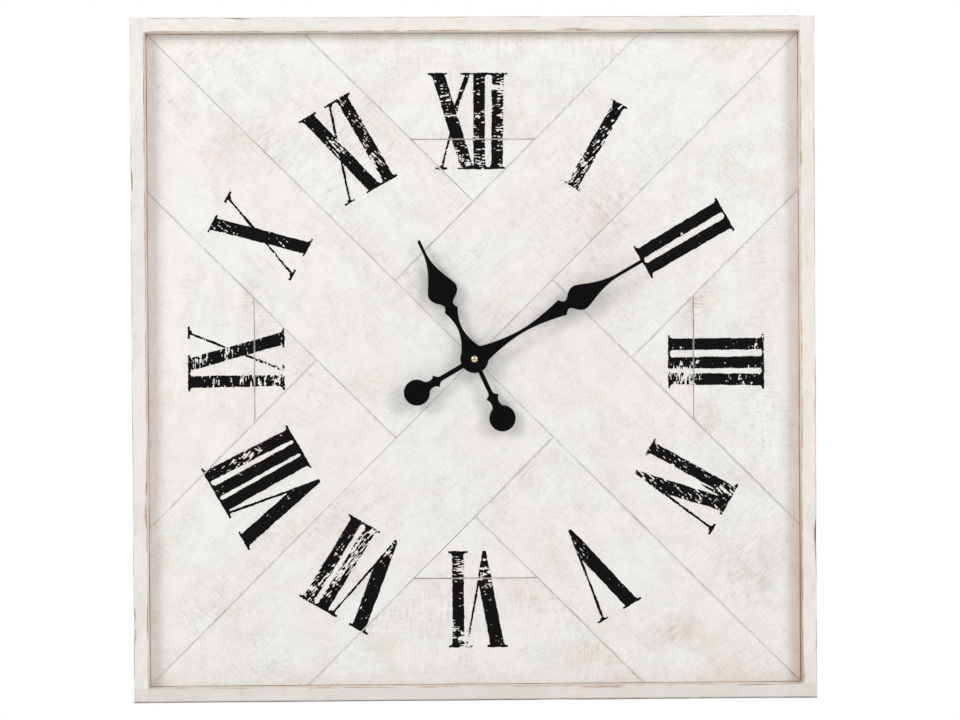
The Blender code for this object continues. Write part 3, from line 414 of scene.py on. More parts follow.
def whitewashed_pine(colours):
    """Two thin coats of chalky whitewash over rough-sawn pine: flat, uneven in tint, with faint
    band-saw lines across the grain, a breath of brown where it has been rubbed, and a painted
    shade, with some dirt, in the angle beside the side rails."""
    material, tree, shader = new_finish("whitewashed_pine")
    grain = add_node(tree, "Attribute", attribute_name="grain").outputs["Vector"]
    wear, stain, seam = (
        add_node(tree, "Attribute", attribute_name=name).outputs["Fac"]
        for name in ("wear", "stain", "seam")
    )
    place = add_node(tree, "TexCoord").outputs["Object"]
    across = add_node(tree, "SeparateXYZ", {"Vector": place}).outputs["X"]

    clouds = mottling(tree, grain, (9, 14, 9), 3, 0.55)  # 70 to 110 mm drifts of the brush
    streaks = mottling(tree, grain, (28, 330, 30))  # 3 mm growth rings
    saw = mottling(tree, grain, (620, 76, 30), 3, 0.62, turn=math.radians(3))  # 1.6 mm saw pitch
    fibre = mottling(tree, grain, (70, 600, 30), 3, 0.62)  # torn fibres along the grain
    chalk = mottling(tree, grain, (420, 420, 420), 3, 0.7)  # 2 mm lumps, coarser than real chalk
    flecks = mottling(tree, grain, (380, 620, 700), 3, 0.65)
    scratches = mottling(tree, grain, (38, 1300, 40), 2, 0.5)
    specks = mottling(tree, grain, (300, 300, 300), 3, 0.65)
    sawn_parts = mottling(tree, grain, (13, 21, 9), 4)
    torn_parts = mottling(tree, grain, (12, 24, 9), 4, offset=(6, 3, 9))
    handled = mottling(tree, grain, (15, 22, 17), 5, 0.68, offset=(3, 7, 1))
    dusty = mottling(tree, grain, (38, 52, 45), 5, 0.75, offset=(8, 2, 1))
    blotches = mottling(tree, grain, (60, 90, 60), 5, 0.7)
    along_edge = mottling(tree, grain, (60, 60, 60))
    along_seam = mottling(tree, grain, (26, 260, 60), 4, 0.7, offset=(1, 4, 4))

    rub = overlap(tree, 1.0, (handled, 0.52, 0.82))
    grime = overlap(tree, 1.0, (dusty, 0.42, 0.72))
    speckled = overlap(tree, 1.0, (specks, 0.38, 0.60))
    across_lines = overlap(tree, speckled, (saw, 0.48, 0.66), (sawn_parts, 0.42, 0.66))
    along_lines = overlap(tree, speckled, (fibre, 0.50, 0.68), (torn_parts, 0.44, 0.68))
    browned = add_node(tree, "Math", {0: streaks, 1: 0.9, 2: 0.5}, operation="MULTIPLY_ADD")
    dirty = add_node(tree, "Math", {0: grime, 1: rub}, operation="ADD", use_clamp=True)
    broken = add_node(
        tree, "Math", {0: blotches, 1: 0.7, 2: overlap(tree, 0.7, saw)}, operation="MULTIPLY_ADD"
    )
    from_middle = add_node(tree, "Math", {0: across}, operation="ABSOLUTE")
    # Painted shade, with some dirt: a band 13 mm wide beside the side rails
    rail_shade_band = add_node(
        tree, "MapRange", {"Value": from_middle, "From Min": OPENING - 13 * MM, "From Max": OPENING}
    )
    gritty = overlap(tree, 1.0, (chalk, 0.30, 0.75))
    rail_shade_speckle = add_node(tree, "Math", {0: gritty, 1: 0.25}, operation="ADD", use_clamp=True)
    coat = lay_coats(
        tree, colours.warm_white,
        (colours.cool_white, 1.0, (clouds, 0.38, 0.62)),
        (colours.rubbed, 0.46, rub, browned),
        (colours.smudge, 0.54, across_lines),
        (colours.smudge, 0.48, along_lines),
        (colours.smudge, 0.50, dirty, (flecks, 0.50, 0.70)),
        (colours.smudge, 0.16, grime),
        (colours.dark_wood, 0.34, (scratches, 0.725, 0.785)),
        (colours.worn_wood, 0.62, stain, (broken, 0.58, 0.90)),  # old, broken by the saw's marks
        (colours.seam_dirt, 0.62, wear, (along_edge, 0.46, 0.68)),
        (colours.seam_dirt, 0.42, seam, (along_seam, 0.44, 0.70)),
        (colours.rubbed, 0.55, rail_shade_band, rail_shade_speckle),  # painted shade, with some dirt, in the angle beside the side rails
    )
    complete(
        tree, shader, coat, (chalk, 0.12, 0.66), 0.12 * MM, streaks, (across_lines, -0.7),
        (along_lines, -0.7), (chalk, 0.45), (grime, -0.8),
    )
    shader.inputs["Specular IOR Level"].default_value = 0.35
    return material


def scraped_rail_paint(colours):
    """Brushed white furniture paint, scraped back by hand: even on the faces, and worn through
    to brown wood and dark primer along the arrises and on the inner faces, with a painted shade
    low on the frame and a dark painted shadow along its lower edge."""
    material, tree, shader = new_finish("scraped_rail_paint")
    grain = add_node(tree, "Attribute", attribute_name="grain").outputs["Vector"]
    wear, inner = (
        add_node(tree, "Attribute", attribute_name=name).outputs["Fac"]
        for name in ("wear", "inner")
    )
    place = add_node(tree, "TexCoord").outputs["Object"]
    up = add_node(tree, "SeparateXYZ", {"Vector": place}).outputs["Z"]

    streaks = mottling(tree, grain, (10, 300, 300))  # 3 mm brush lines
    clouds = mottling(tree, grain, (16, 40, 40))
    breaks = mottling(tree, grain, (34, 150, 150), 4, 0.65, offset=(5, 1, 2))
    marks = mottling(tree, grain, (110, 420, 420), 4, 0.7, offset=(4, 4, 1))
    grit = mottling(tree, grain, (500, 500, 500), 3, 0.7)

    # Above 1, wear is a knock down to dark wood, and the inner face is soiled.
    knocked = add_node(tree, "Math", {0: wear, 1: 1.0}, operation="SUBTRACT", use_clamp=True)
    soiled = add_node(tree, "Math", {0: inner, 1: 1.0}, operation="SUBTRACT", use_clamp=True)
    # Painted shade low on the frame, and a dark painted shadow along its lower edge.
    falloff_shade, under = (
        add_node(tree, "MapRange", {"Value": up, "From Min": top, "From Max": top - fade})
        for top, fade in (
            (RAIL_BOTTOM + 13.2 * MM, 0.6 * MM), (RAIL_BOTTOM + 1.9 * MM, 1.2 * MM),
        )
    )
    ragged = overlap(tree, 1.0, (breaks, 0.30, 0.60))
    # How strong the painted shadow along the lower edge is, broken up
    edge_shadow_breaks = add_node(tree, "Math", {0: ragged, 1: 0.55}, operation="ADD", use_clamp=True)
    coat = lay_coats(
        tree, colours.rail_white,
        (colours.warm_white, 1.0, (clouds, 0.40, 0.62)),
        (colours.rubbed, 0.60, streaks, (clouds, 0.50, 0.72)),
        (colours.smudge, 0.28, (marks, 0.52, 0.72)),
        (colours.rubbed, 0.75, inner, (breaks, 0.30, 0.70)),
        (colours.worn_wood, 0.60, soiled),
        (colours.worn_wood, 0.85, wear, (breaks, 0.42, 0.56)),
        (colours.dark_wood, 0.80, wear, (breaks, 0.60, 0.72)),
        (colours.dark_wood, 0.80, knocked),
        # painted shade low on the frame, then painted shadow along its lower edge
        (colours.smudge, 0.24, falloff_shade),
        (colours.dark_wood, 0.80, under, edge_shadow_breaks),
    )
    complete(tree, shader, coat, (grit, 0.14, 0.58), 0.09 * MM, streaks, (grit, 0.4))
    return material


def timber(name, pale, dark, ring_mm, pore_mm, gloss, depth_mm):
    """Bare wood: long growth rings that wander, with short dark pores along them."""
    material, tree, shader = new_finish(name)
    grain = add_node(tree, "Attribute", attribute_name="grain").outputs["Vector"]
    rings = mottling(tree, grain, (5, 1000 / ring_mm, 600 / ring_mm), 4)
    bends = mottling(tree, grain, (3, 14, 14), 2, 0.5)
    pores = mottling(tree, grain, (90, 1000 / pore_mm, 1000 / pore_mm), 2)
    pitted = overlap(tree, 1.0, (pores, 0.58, 0.70))
    tone = add_node(
        tree, "Math", {0: rings, 1: 0.75, 2: overlap(tree, 0.35, bends)}, operation="MULTIPLY_ADD"
    )
    wood = lay_coats(
        tree, pale, (dark, 1.0, (tone, 0.38, 0.72)), (linear("#6B4A2C"), 0.35, pitted)
    )
    complete(tree, shader, wood, (rings, 0.2, gloss), depth_mm * MM, rings, (pitted, -0.7))
    return material


def made_surface(name, colour, second, blend, rough, spread, metal, grain_mm, depth_mm, shine=0.5):
    """A made surface: a little uneven in tint and gloss, with a fine texture of one grain size."""
    material, tree, shader = new_finish(name)
    place = add_node(tree, "TexCoord").outputs["Object"]
    fine = mottling(tree, place, [1000 / grain_mm] * 3)
    broad = mottling(tree, place, [90 / grain_mm] * 3, 3, 0.55, offset=(2, 5, 3))
    both = add_node(tree, "Math", {0: fine, 1: broad}, operation="ADD")
    coat = lay_coats(tree, colour, (second, blend, both))
    complete(tree, shader, coat, (broad, spread, rough), depth_mm * MM, fine)
    shader.inputs["Metallic"].default_value = metal
    shader.inputs["Specular IOR Level"].default_value = shine
    return material


# name: colour, second tint, how much of it, roughness, its spread, metal, grain and depth in mm,
# and for the darkest coats how much they shine
MADE_FINISHES = {
    # Matt stencil paint, dabbed on: near black, a little grey where the coat is thin.
    "stencil_ink": ("ink", "#171515", 0.50, 0.62, 0.20, 0.0, 0.9, 0.03, 0.06),
    # Stoved black enamel on stamped steel: smooth, with the least orange peel.
    "stoved_enamel": ("enamel", "#0B0B0C", 0.35, 0.40, 0.12, 0.0, 0.9, 0.012, 0.07),
    # Turned and lacquered brass: bright, with fine tool rings.
    "lacquered_brass": ("brass", "#D2B67C", 0.30, 0.16, 0.16, 1.0, 0.5, 0.004),
    # Bright zinc plate: pale grey crystals and a soft gloss.
    "zinc_plate": ("steel", "#8E9298", 0.55, 0.28, 0.22, 1.0, 1.4, 0.012),
    # Injection-moulded ABS with a spark-eroded texture of 0.3 mm.
    "moulded_abs": ("plastic", "#262628", 0.40, 0.42, 0.15, 0.0, 0.30, 0.012),
    # Nitrile rubber: matt, with dust in it.
    "nitrile_rubber": ("#2A2A2A", "#3A3836", 0.40, 0.72, 0.12, 0.0, 0.5, 0.02),
    # Soft clear polyurethane, yellowed and dusty.
    "polyurethane": ("#C9C5B4", "#A8A391", 0.35, 0.30, 0.2, 0.0, 0.8, 0.01),
    # White acetal wheels: waxy and smooth.
    "acetal": ("#E9E7DF", "#DAD6CA", 0.40, 0.35, 0.1, 0.0, 0.6, 0.006),
    # Sintered ferrite magnet: dark grey and slightly grainy.
    "sintered_ferrite": ("#3B3B3F", "#58585C", 0.50, 0.42, 0.2, 0.5, 0.15, 0.01),
    # Rolled silicon steel: grey with rolling lines.
    "silicon_steel": ("#9B9EA3", "#74777C", 0.50, 0.30, 0.2, 1.0, 0.4, 0.008),
    # Enamelled copper wire, wound in close layers.
    "enamelled_copper": ("#B4592B", "#7E3516", 0.50, 0.30, 0.15, 0.8, 0.25, 0.03),
    # Green solder mask over glass cloth.
    "solder_mask": ("#1E6B3A", "#14502A", 0.45, 0.30, 0.15, 0.0, 0.5, 0.008),
    # Spring brass strip with a light nickel bloom.
    "spring_brass": ("#C9AE74", "#9B8350", 0.45, 0.28, 0.2, 1.0, 0.6, 0.006),
    # Shrink-wrapped film on the cell: smooth, a dark blue that is a little worn.
    "cell_jacket": ("#1D2C55", "#2C3F70", 0.40, 0.25, 0.12, 0.1, 1.2, 0.006),
    # Bright tin-plated steel of the cell's ends.
    "tin_plate": ("#C4C6C8", "#9FA1A4", 0.45, 0.22, 0.18, 1.0, 0.8, 0.006),
}
FINISHES = {}


def make_finishes(colours):
    """Makes every finish from the colours that the user may change."""
    FINISHES.clear()
    FINISHES["planks"] = whitewashed_pine(colours)
    FINISHES["rails"] = scraped_rail_paint(colours)
    # Rotary-cut birch veneer: broad pale figure with fine pores.
    FINISHES["plywood"] = timber(
        "birch_plywood", colours.plywood, linear("#A9814F"), ring_mm=9, pore_mm=0.45, gloss=0.55,
        depth_mm=0.05,
    )
    # Planed pine: strong rings 4 mm apart, resin-brown.
    FINISHES["pine"] = timber(
        "planed_pine", colours.pine, linear("#B07E48"), ring_mm=4, pore_mm=1.2, gloss=0.5,
        depth_mm=0.06,
    )
    for name, (first, second, *numbers) in MADE_FINISHES.items():
        first = linear(first) if first.startswith("#") else getattr(colours, first)
        FINISHES[name] = made_surface(name, first, linear(second), *numbers)


# ---- Timber of the frame and dial ----


def wander(seed, *place, detail=2):
    """Smooth seeded noise from about -1 to 1."""
    return noise.fractal(Vector((*place, 0, 0)[:3]) + Vector((seed * 7.31, 0, 0)), 1.0, 2.0, detail)


# The deepest knock in the paint: its height from the hands' axis, and about half its length
KNOCK_HEIGHT, KNOCK_REACH = -160 * MM, 15 * MM


def rail_piece(side, arris):
    """A square stick, split along its length, with four bevelled arrises that wander in width."""
    low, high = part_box(f"frame_rail_{side}")
    upright = side in ("left", "right")
    run, wide = (2, 0) if upright else (0, 2)
    obj = block(low, high)
    along = Vector((0, 0, 1)) if upright else Vector((1, 0, 0))
    for _ in range(2):
        edit(obj)
        pick(obj, "edges", lambda edge: edge_along(edge, along))
        bpy.ops.mesh.subdivide(number_cuts=13)
        done(obj)
    centre = (low + high) / 2

    def on_corner(edge):
        at = edge_middle(edge)
        return edge_along(edge, along) and all(
            abs(abs(at[k] - centre[k]) - (high[k] - low[k]) / 2) < 0.01 * MM for k in (wide, 1)
        )

    bevel_edges(obj, on_corner, arris, segments=3)
    seed = 3 + 11 * QUARTERS[side]
    outward = 1 if centre[wide] > AXIS[wide] else -1
    wear, inner = [], []
    for vert in obj.data.vertices:
        place = vert.co.copy()
        t = place[run]
        corner = Vector(place)
        for k in (wide, 1):
            corner[k] = high[k] if place[k] > centre[k] else low[k]
        off_wide, off_deep = abs(corner[wide] - place[wide]), abs(corner[1] - place[1])
        is_outer = (corner[wide] - centre[wide]) * outward > 0
        is_front = corner.y < centre.y
        key = seed + 2 * is_outer + 5 * is_front
        # How wide the arris is: uneven all along, with a few long scrapes and one knock.
        scrape = 1.0 + 0.55 * wander(key, t * 38) + 0.35 * wander(key + 0.5, t * 150)
        scrape = min(scrape + 8.5 * max(0.0, wander(key + 0.7, t * 15) - 0.26), 3.6)
        knock = 0.0
        if side == "right" and is_outer:
            knock = math.exp(-(((t - AXIS.z - KNOCK_HEIGHT) / KNOCK_REACH) ** 2))
        scrape += 2.2 * knock
        reach = max(0.35, scrape) if is_front else 1.0
        past = abs(t - centre[run]) - (OPENING if upright else OPENING - 2 * MM)
        at_joint = past > -1 * MM and (not is_outer or not upright)
        reach = 0.06 if at_joint else reach
        for k in (wide, 1):
            vert.co[k] = corner[k] + (place[k] - corner[k]) * reach
        # No stick is quite straight.
        vert.co[wide] += 0.22 * MM * wander(seed + 0.3, t * 9)
        vert.co[1] += 0.12 * MM * wander(seed + 0.6, t * 8) * is_front
        rounded = off_wide < 0.95 * arris and off_deep < 0.95 * arris
        bare_edge = float(rounded and not at_joint) * (1.0 if is_front else 0.6)
        wear.append(bare_edge * (1 + knock))
        soiled = 0.0
        if side == "right":  # low down, its inner face is dirtier
            soiled = max(0.0, min(1.0, (AXIS.z - 60 * MM - place.z) / (160 * MM)))
        facing_dial = not is_outer and off_wide < 0.01 * MM and not at_joint
        inner.append(float(facing_dial) * (1 + 1.2 * soiled))
        if at_joint and not upright:
            vert.co.x += 0.28 * MM * (1 if place.x > centre.x else -1)
    set_attribute(obj, "wear", "FLOAT", wear)
    set_attribute(obj, "inner", "FLOAT", inner)
    lay_grain(obj, along, (0.9 * QUARTERS[side], 0.31 * seed, 0.2))
    return smooth(obj, 50)


def turned_to(obj, degrees):
    """Turns a piece that was made about the dial's centre, then moves it to the hands' axis."""
    turn = Matrix.Rotation(math.radians(-degrees), 4, "Y")
    return applied(obj, Matrix.Translation((AXIS.x, 0, AXIS.z)) @ turn)


def saw_cut(obj, at, normal):
    """One straight saw cut through a board: what lies beyond the plane falls away."""
    edit(obj)
    bpy.ops.mesh.select_all(action="SELECT")
    bpy.ops.mesh.bisect(plane_co=at, plane_no=normal, use_fill=True, clear_outer=True)
    return done(obj)


def score(obj, axis, low, high, pitch):
    """Splits a board's faces by planes at a regular pitch across one axis."""
    edit(obj)
    normal = Vector([float(k == axis) for k in range(3)])
    for i in range(1, int((high - low) / pitch)):
        bpy.ops.mesh.select_all(action="SELECT")
        bpy.ops.mesh.bisect(plane_co=normal * (low + i * pitch), plane_no=normal)
    return done(obj)


def plank_blank(kind, sizes):
    """A board for the right-hand quarter, about the dial's centre, with its grain along X. It
    returns the board and the angle that its grain makes with the level."""
    gap, width = sizes.plank_gap / 2, sizes.plank_width
    corner, apex = math.sqrt(2) * OPENING, math.sqrt(2) * sizes.plank_width
    mitre = Vector((corner - 1.5 * FRAME_GAP, 0, 0))
    if kind == "long":  # it runs down to the right, from the dial's centre to the frame
        low, high, angle = (gap, gap), (corner, width - gap), -45
        cuts = [(mitre, Vector((1, 0, 1)).normalized())]
    elif kind == "short":  # it runs up to the right, from the long plank's edge to the frame
        low, high, angle = (width + gap, -width + gap), (corner, -gap), 45
        cuts = [(mitre, Vector((1, 0, -1)).normalized())]
    else:  # both pieces of the triangle have upright grain
        if kind == "tip":
            near, far = apex + gap, TIP_SPLIT - 3 * gap
        else:
            near, far = TIP_SPLIT + 3 * gap, OPENING - FRAME_GAP
        low, high, angle = (-OPENING, -far), (OPENING, -near), 90
        reach = gap * math.sqrt(2)
        cuts = [
            (Vector((0, 0, -apex - reach)), Vector((s, 0, 1)).normalized()) for s in (-1, 1)
        ]
    board = block((low[0], PLANK_FRONT, low[1]), (high[0], PLANK_BACK, high[1]))
    for at, normal in cuts:
        saw_cut(board, at, normal)
    return board, angle


PLANK_KINDS = ("long", "short", "tip", "edge")
SEAM_REACH = 1.9 * MM  # how far dirt spreads from an open joint
SHAFT_HOLE = 5.2 * MM  # radius of the hole for the movement's bushing
# Old stains on the dial: place from the hands' axis, half width, half height and strength, in mm
STAINS = (
    (-84, 236, 16, 11, 0.55), (90, 238, 17, 10, 0.50), (-187, 194, 16, 22, 0.60),
    (-222, 205, 12, 30, 0.35), (198, 44, 9, 16, 0.85), (-200, 56, 8, 18, 0.80),
    (-204, -12, 8, 30, 0.45), (-233, -203, 16, 14, 0.55), (44, -216, 13, 7, 0.70),
    (176, -246, 16, 10, 1.00), (44, -102, 9, 9, 0.60), (94, -8, 26, 22, 0.30),
    (130, 66, 34, 22, 0.35), (118, 122, 30, 24, 0.45), (204, -60, 8, 26, 0.60),
    (-118, 208, 24, 18, 0.35), (246, -190, 28, 36, 0.60), (-10, -208, 40, 9, 0.35),
    (-70, 62, 30, 24, 0.20), (-130, -150, 34, 28, 0.25), (262, 60, 14, 60, 0.30),
)


def stain_at(points):
    """How stained the dial is at each point."""
    total = np.zeros(len(points))
    for x, z, half_x, half_z, strength in STAINS:
        across = (points[:, 0] - AXIS.x) / MM - x
        up = (points[:, 2] - AXIS.z) / MM - z
        total += strength * np.exp(-((across / half_x) ** 2) - (up / half_z) ** 2)
    return total


def plank_key(kind, side):
    return PLANK_KINDS.index(kind) + 4 * QUARTERS[side]


def face_height(key, x, z, sizes):
    """How far a plank's face stands proud at a place on the dial, in metres."""
    step = ((key * 7 % 16) / 15 - 0.5) * sizes.plank_step  # 16 planks, each at its own level
    return step + sizes.plank_wave * wander(key + 0.37, x * 11, z * 11)


def shape_plank(kind, side, sizes):
    """Saws, eases and scores one plank, and lets its face rise and fall a little."""
    board, angle = plank_blank(kind, sizes)
    key = plank_key(kind, side)

    def front_arris(edge):
        return all(abs(v.co.y - PLANK_FRONT) < 0.01 * MM for v in edge.verts)

    bevel_edges(board, front_arris, sizes.plank_arris, segments=2)
    edit(board)
    pick(board, "faces", lambda face: face.normal.y < -0.99)
    bpy.ops.mesh.inset(thickness=1.6 * MM)  # keeps a narrow strip of face beside each joint
    done(board)
    eased = [vert.co.y > PLANK_FRONT + 0.01 * MM for vert in board.data.vertices]
    set_attribute(board, "wear", "FLOAT", [float(e) for e in eased])
    reach = OPENING * 1.5
    for axis in (0, 2):
        score(board, axis, -reach, reach, 9 * MM)
    for vert in board.data.vertices:
        deep = vert.co.y - PLANK_FRONT
        if 0.01 * MM < deep < sizes.plank_arris * 1.01:
            groove = 0.95 + 0.8 * wander(key + 0.21, vert.co.x * 13, vert.co.z * 13)
            groove += 0.35 * wander(key + 0.87, vert.co.x * 55, vert.co.z * 55)
            vert.co.y = PLANK_FRONT + deep * max(0.3, groove)
    lay_grain(board, (1, 0, 0), (0.77 * key, 0.41 * key, 0.13 * key))
    turned_to(board, angle + 90 * QUARTERS[side])
    points = points_of(board)
    set_attribute(board, "stain", "FLOAT", stain_at(points))
    x, z = points[:, 0] - AXIS.x, points[:, 2] - AXIS.z
    joint = plank_under(x, z, sizes.plank_width)[1]
    # The joints are dirtiest in the lower right quarter of the dial.
    low_right = np.exp(-(((x / MM - 190) / 120) ** 2) - ((z / MM + 190) / 150) ** 2)
    set_attribute(board, "seam", "FLOAT", np.clip(1 - joint / SEAM_REACH, 0, 1) * (1 + low_right))
    if kind == "long":
        carve(board, disc((AXIS.x, PLANK_FRONT, AXIS.z), SHAFT_HOLE, 60 * MM))
    for vert in board.data.vertices:
        if vert.co.y < PLANK_FRONT + sizes.plank_arris * 3:
            vert.co.y -= face_height(key, vert.co.x, vert.co.z, sizes)
    return smooth(board, 30)


# ---- Numerals ----


def stem(top, foot):
    return ("stem", top, foot)


def arms(thick_top, thin_top, apex):
    return ("arms", thick_top, thin_top, apex)


def cross(thick_top, thick_foot, thin_top, thin_foot):
    return ("cross", thick_top, thick_foot, thin_top, thin_foot)


def slash(top, top_half, high, foot, foot_half, low):
    """A thin stroke that was gone over again: the places and half widths of its two ends."""
    return ("slash", top, top_half, foot, foot_half, low, high)


# For each hour: how far the letters' feet stand from the hands' axis, the letters from left to
# right with the places of their strokes, all in mm, and the patches of worn ink as place,
# half width, half height and depth of wear.
NUMERALS = {
    1: (177.5, [stem(-0.2, -0.4)], 0.50, [(0, 22, 9, 26, 0.35), (3, 75, 5, 12, 0.2)]),
    2: (174.0, [stem(-7.0, -6.2), stem(9.6, 9.2)], 0.12,
        [(-9, 43, 9, 1.2, 0.6), (10, 4, 6, 3, 0.2)]),
    3: (174.0, [stem(-12.2, -12.0), stem(4.4, 4.6), stem(20.0, 19.0)], 0.22,
        [(14, 12, 15, 16, 0.75), (-4, 82, 22, 8, 0.30), (20, 70, 7, 22, 0.30)]),
    4: (176.0, [stem(-10.8, -9.6), arms(2.2, 27.0, 16.5), slash(-4.2, 2.6, 85, -3.0, 0.3, 57)],
        0.50, [(15, 6, 6, 12, 0.35), (-6, 80, 16, 10, 0.15), (24, 84, 8, 8, -0.4)]),
    5: (175.5, [arms(-11.5, 18.4, 3.6)], 0.18, [(5, 22, 5, 20, 0.42)]),
    6: (172.5, [arms(-19.6, 8.4, -7.8), stem(15.8, 15.8)], 0.26,
        [(9, 80, 9, 14, 0.75), (-8, 16, 9, 20, 0.5), (15, 14, 9, 14, 0.55),
         (21, 68, 5, 16, 0.5)]),
    7: (176.5, [arms(-29.6, -2.0, -20.0), stem(8.2, 5.0), stem(22.6, 20.0)], 0.34,
        [(6, 24, 9, 30, 0.75), (12, 60, 5, 30, 0.35), (23, 70, 9, 18, 0.45),
         (-20, 10, 6, 18, 0.35)]),
    8: (175.0, [arms(-36.8, -7.6, -24.0), stem(-0.4, -1.8), stem(14.0, 11.6), stem(30.0, 25.0)],
        0.12, [(28, 52, 9, 34, 0.62), (-26, 40, 7, 22, 0.45), (14, 76, 6, 12, 0.3)]),
    9: (170.0, [stem(-19.2, -18.2), cross(-4.0, 20.0, 25.0, -9.5)], 0.38,
        [(-18, 20, 10, 20, 0.4), (0, 76, 16, 14, 0.4), (-5, 6, 12, 12, 0.7),
         (6, 52, 14, 2.4, 0.95)]),
    10: (178.0, [cross(-11.0, 12.6, 16.8, -15.4)], 0.20,
         [(-8, 70, 7, 18, 0.45), (9, 24, 6, 22, 0.30), (-8, 22, 8, 16, 0.4)]),
    11: (176.5, [cross(-20.0, 0.6, 3.2, -25.4), stem(15.4, 15.2)], 0.26,
         [(-8, 52, 9, 14, 0.5), (15, 60, 7, 34, 0.42), (14, 20, 7, 24, 0.42)]),
    12: (170.0, [cross(-31.4, -5.2, -5.4, -28.6), stem(5.6, 5.6), stem(22.6, 21.2),
                 slash(-4.6, 2.3, 85, -15.6, 1.9, 54)], 0.40,
         [(26, 50, 5, 40, 0.35), (22, 74, 9, 2.6, 0.95), (-8, 8, 12, 16, 0.20),
          (6, 40, 7, 16, 0.35), (6, 14, 7, 18, 0.25), (-18, 48, 9, 3, 0.7), (-22, 66, 4, 4, 0.5),
          (-28, 6, 12, 16, 0.12)]),
}


def quad(top, top_half, foot, foot_half, low, high):
    """A stroke as four corners, from its foot's height to its top's."""
    return [
        (foot - foot_half, low), (foot + foot_half, low),
        (top + top_half, high), (top - top_half, high),
    ]


def serif(at, half, level, inward, stroke_half):
    """A thin slab on a stroke's end, and the small wedge that joins it to the stroke."""
    slab = sorted((level, level + inward * 1.9))
    near, far = level + inward * 1.5, level + inward * 3.6
    flare = [
        (at - stroke_half, far), (at + stroke_half, far),
        (at + stroke_half + 1.6, near), (at - stroke_half - 1.6, near),
    ]
    return [quad(at, half, at, half, *slab), flare]


def strokes_of(letter, stem_half, hair_half, tall):
    """The convex outlines that make a letter."""
    kind, *at = letter
    if kind == "slash":
        return [quad(*at)]
    if kind == "stem":
        top, foot = at
        body = [quad(top, stem_half, foot, stem_half * 0.97, 0, tall)]
        return body + serif(top, 8.6, tall, -1, stem_half) + serif(foot, 8.6, 0, 1, stem_half)
    if kind == "arms":
        thick, thin, apex = at
        half, tip = stem_half * 1.18, 1.6
        lean = (apex - tip - thick + half) / tall
        rise = (thin + hair_half - apex - tip) / tall
        meet = (thick + half + lean * tall - apex - tip) / (lean + rise)  # height where arms part
        thick_arm = [
            (apex - tip, 0), (apex + tip, 0), (apex + tip + rise * meet, meet),
            (thick + half, tall), (thick - half, tall),
        ]
        thin_arm = quad(thin, hair_half, apex + tip - hair_half, hair_half, 2, tall)
        ends = serif(thick, 9.4, tall, -1, stem_half * 1.05)
        return [thick_arm, thin_arm] + ends + serif(thin + 0.3, 5.4, tall, -1, hair_half * 1.6)
    thick_top, thick_foot, thin_top, thin_foot = at
    made = [
        quad(thick_top, stem_half * 1.1, thick_foot, stem_half * 1.1, 0, tall),
        quad(thin_top, hair_half, thin_foot, hair_half, 0, tall),
    ]
    for where, half, level, inward, stroke in (
        (thick_top, 8.8, tall, -1, stem_half), (thick_foot, 8.8, 0, 1, stem_half),
        (thin_top, 5.6, tall, -1, hair_half), (thin_foot, 5.2, 0, 1, hair_half),
    ):
        made += serif(where, half, level, inward, stroke)
    return made


def inside_distance(polygon, x, y):
    """Distance inside a convex outline: positive inside it and negative outside."""
    area = sum(
        a[0] * b[1] - b[0] * a[1] for a, b in zip(polygon, polygon[1:] + polygon[:1])
    )
    ring = polygon if area > 0 else polygon[::-1]
    nearest = np.full(x.shape, 1e3)
    for (ax, ay), (bx, by) in zip(ring, ring[1:] + ring[:1]):
        length = math.hypot(bx - ax, by - ay)
        if length > 0:
            cross_product = (bx - ax) * (y - ay) - (by - ay) * (x - ax)
            nearest = np.minimum(nearest, cross_product / length)
    return nearest


def lattice_noise(x, y, seed):
    """Smooth value noise between 0 and 1 on arrays, one cell per unit."""
    xi, yi = np.floor(x), np.floor(y)
    xf, yf = x - xi, y - yi
    xf, yf = xf * xf * (3 - 2 * xf), yf * yf * (3 - 2 * yf)

    def corner(dx, dy):
        wave = np.sin((xi + dx) * 127.1 + (yi + dy) * 311.7 + seed * 74.7) * 43758.5453
        return wave - np.floor(wave)

    low = corner(0, 0) * (1 - xf) + corner(1, 0) * xf
    high = corner(0, 1) * (1 - xf) + corner(1, 1) * xf
    return low * (1 - yf) + high * yf


def plank_under(x, z, width):
    """For places on the dial: the plank's number, the distance to its nearest joint, and the
    places along and across its grain."""
    key = np.zeros(x.shape, int)
    joint = np.full(x.shape, 1e3)
    along, across = np.zeros(x.shape), np.zeros(x.shape)
    for side, turns in QUARTERS.items():
        c, s = math.cos(-turns * math.pi / 2), math.sin(-turns * math.pi / 2)
        px, pz = c * x - s * z, s * x + c * z
        up, down = (px + pz) / math.sqrt(2), (px - pz) / math.sqrt(2)
        mine = (up >= 0) & (down > 0)
        long, short = mine & (up < width), mine & (up >= width) & (down < width)
        inner = mine & ~long & ~short
        for kind, zone, distances, run, over in (
            ("long", long, (up, width - up), down, up),
            ("short", short, (up - width, down, width - down), up, down),
            ("tip", inner & (px < TIP_SPLIT), (up - width, down - width, TIP_SPLIT - px), pz, px),
            ("edge", inner & (px >= TIP_SPLIT), (up - width, down - width, px - TIP_SPLIT), pz, px),
        ):
            key[zone] = plank_key(kind, side)
            joint[zone] = np.minimum.reduce([d[zone] for d in distances])
            along[zone], across[zone] = run[zone], over[zone]
    return key, joint, along, across


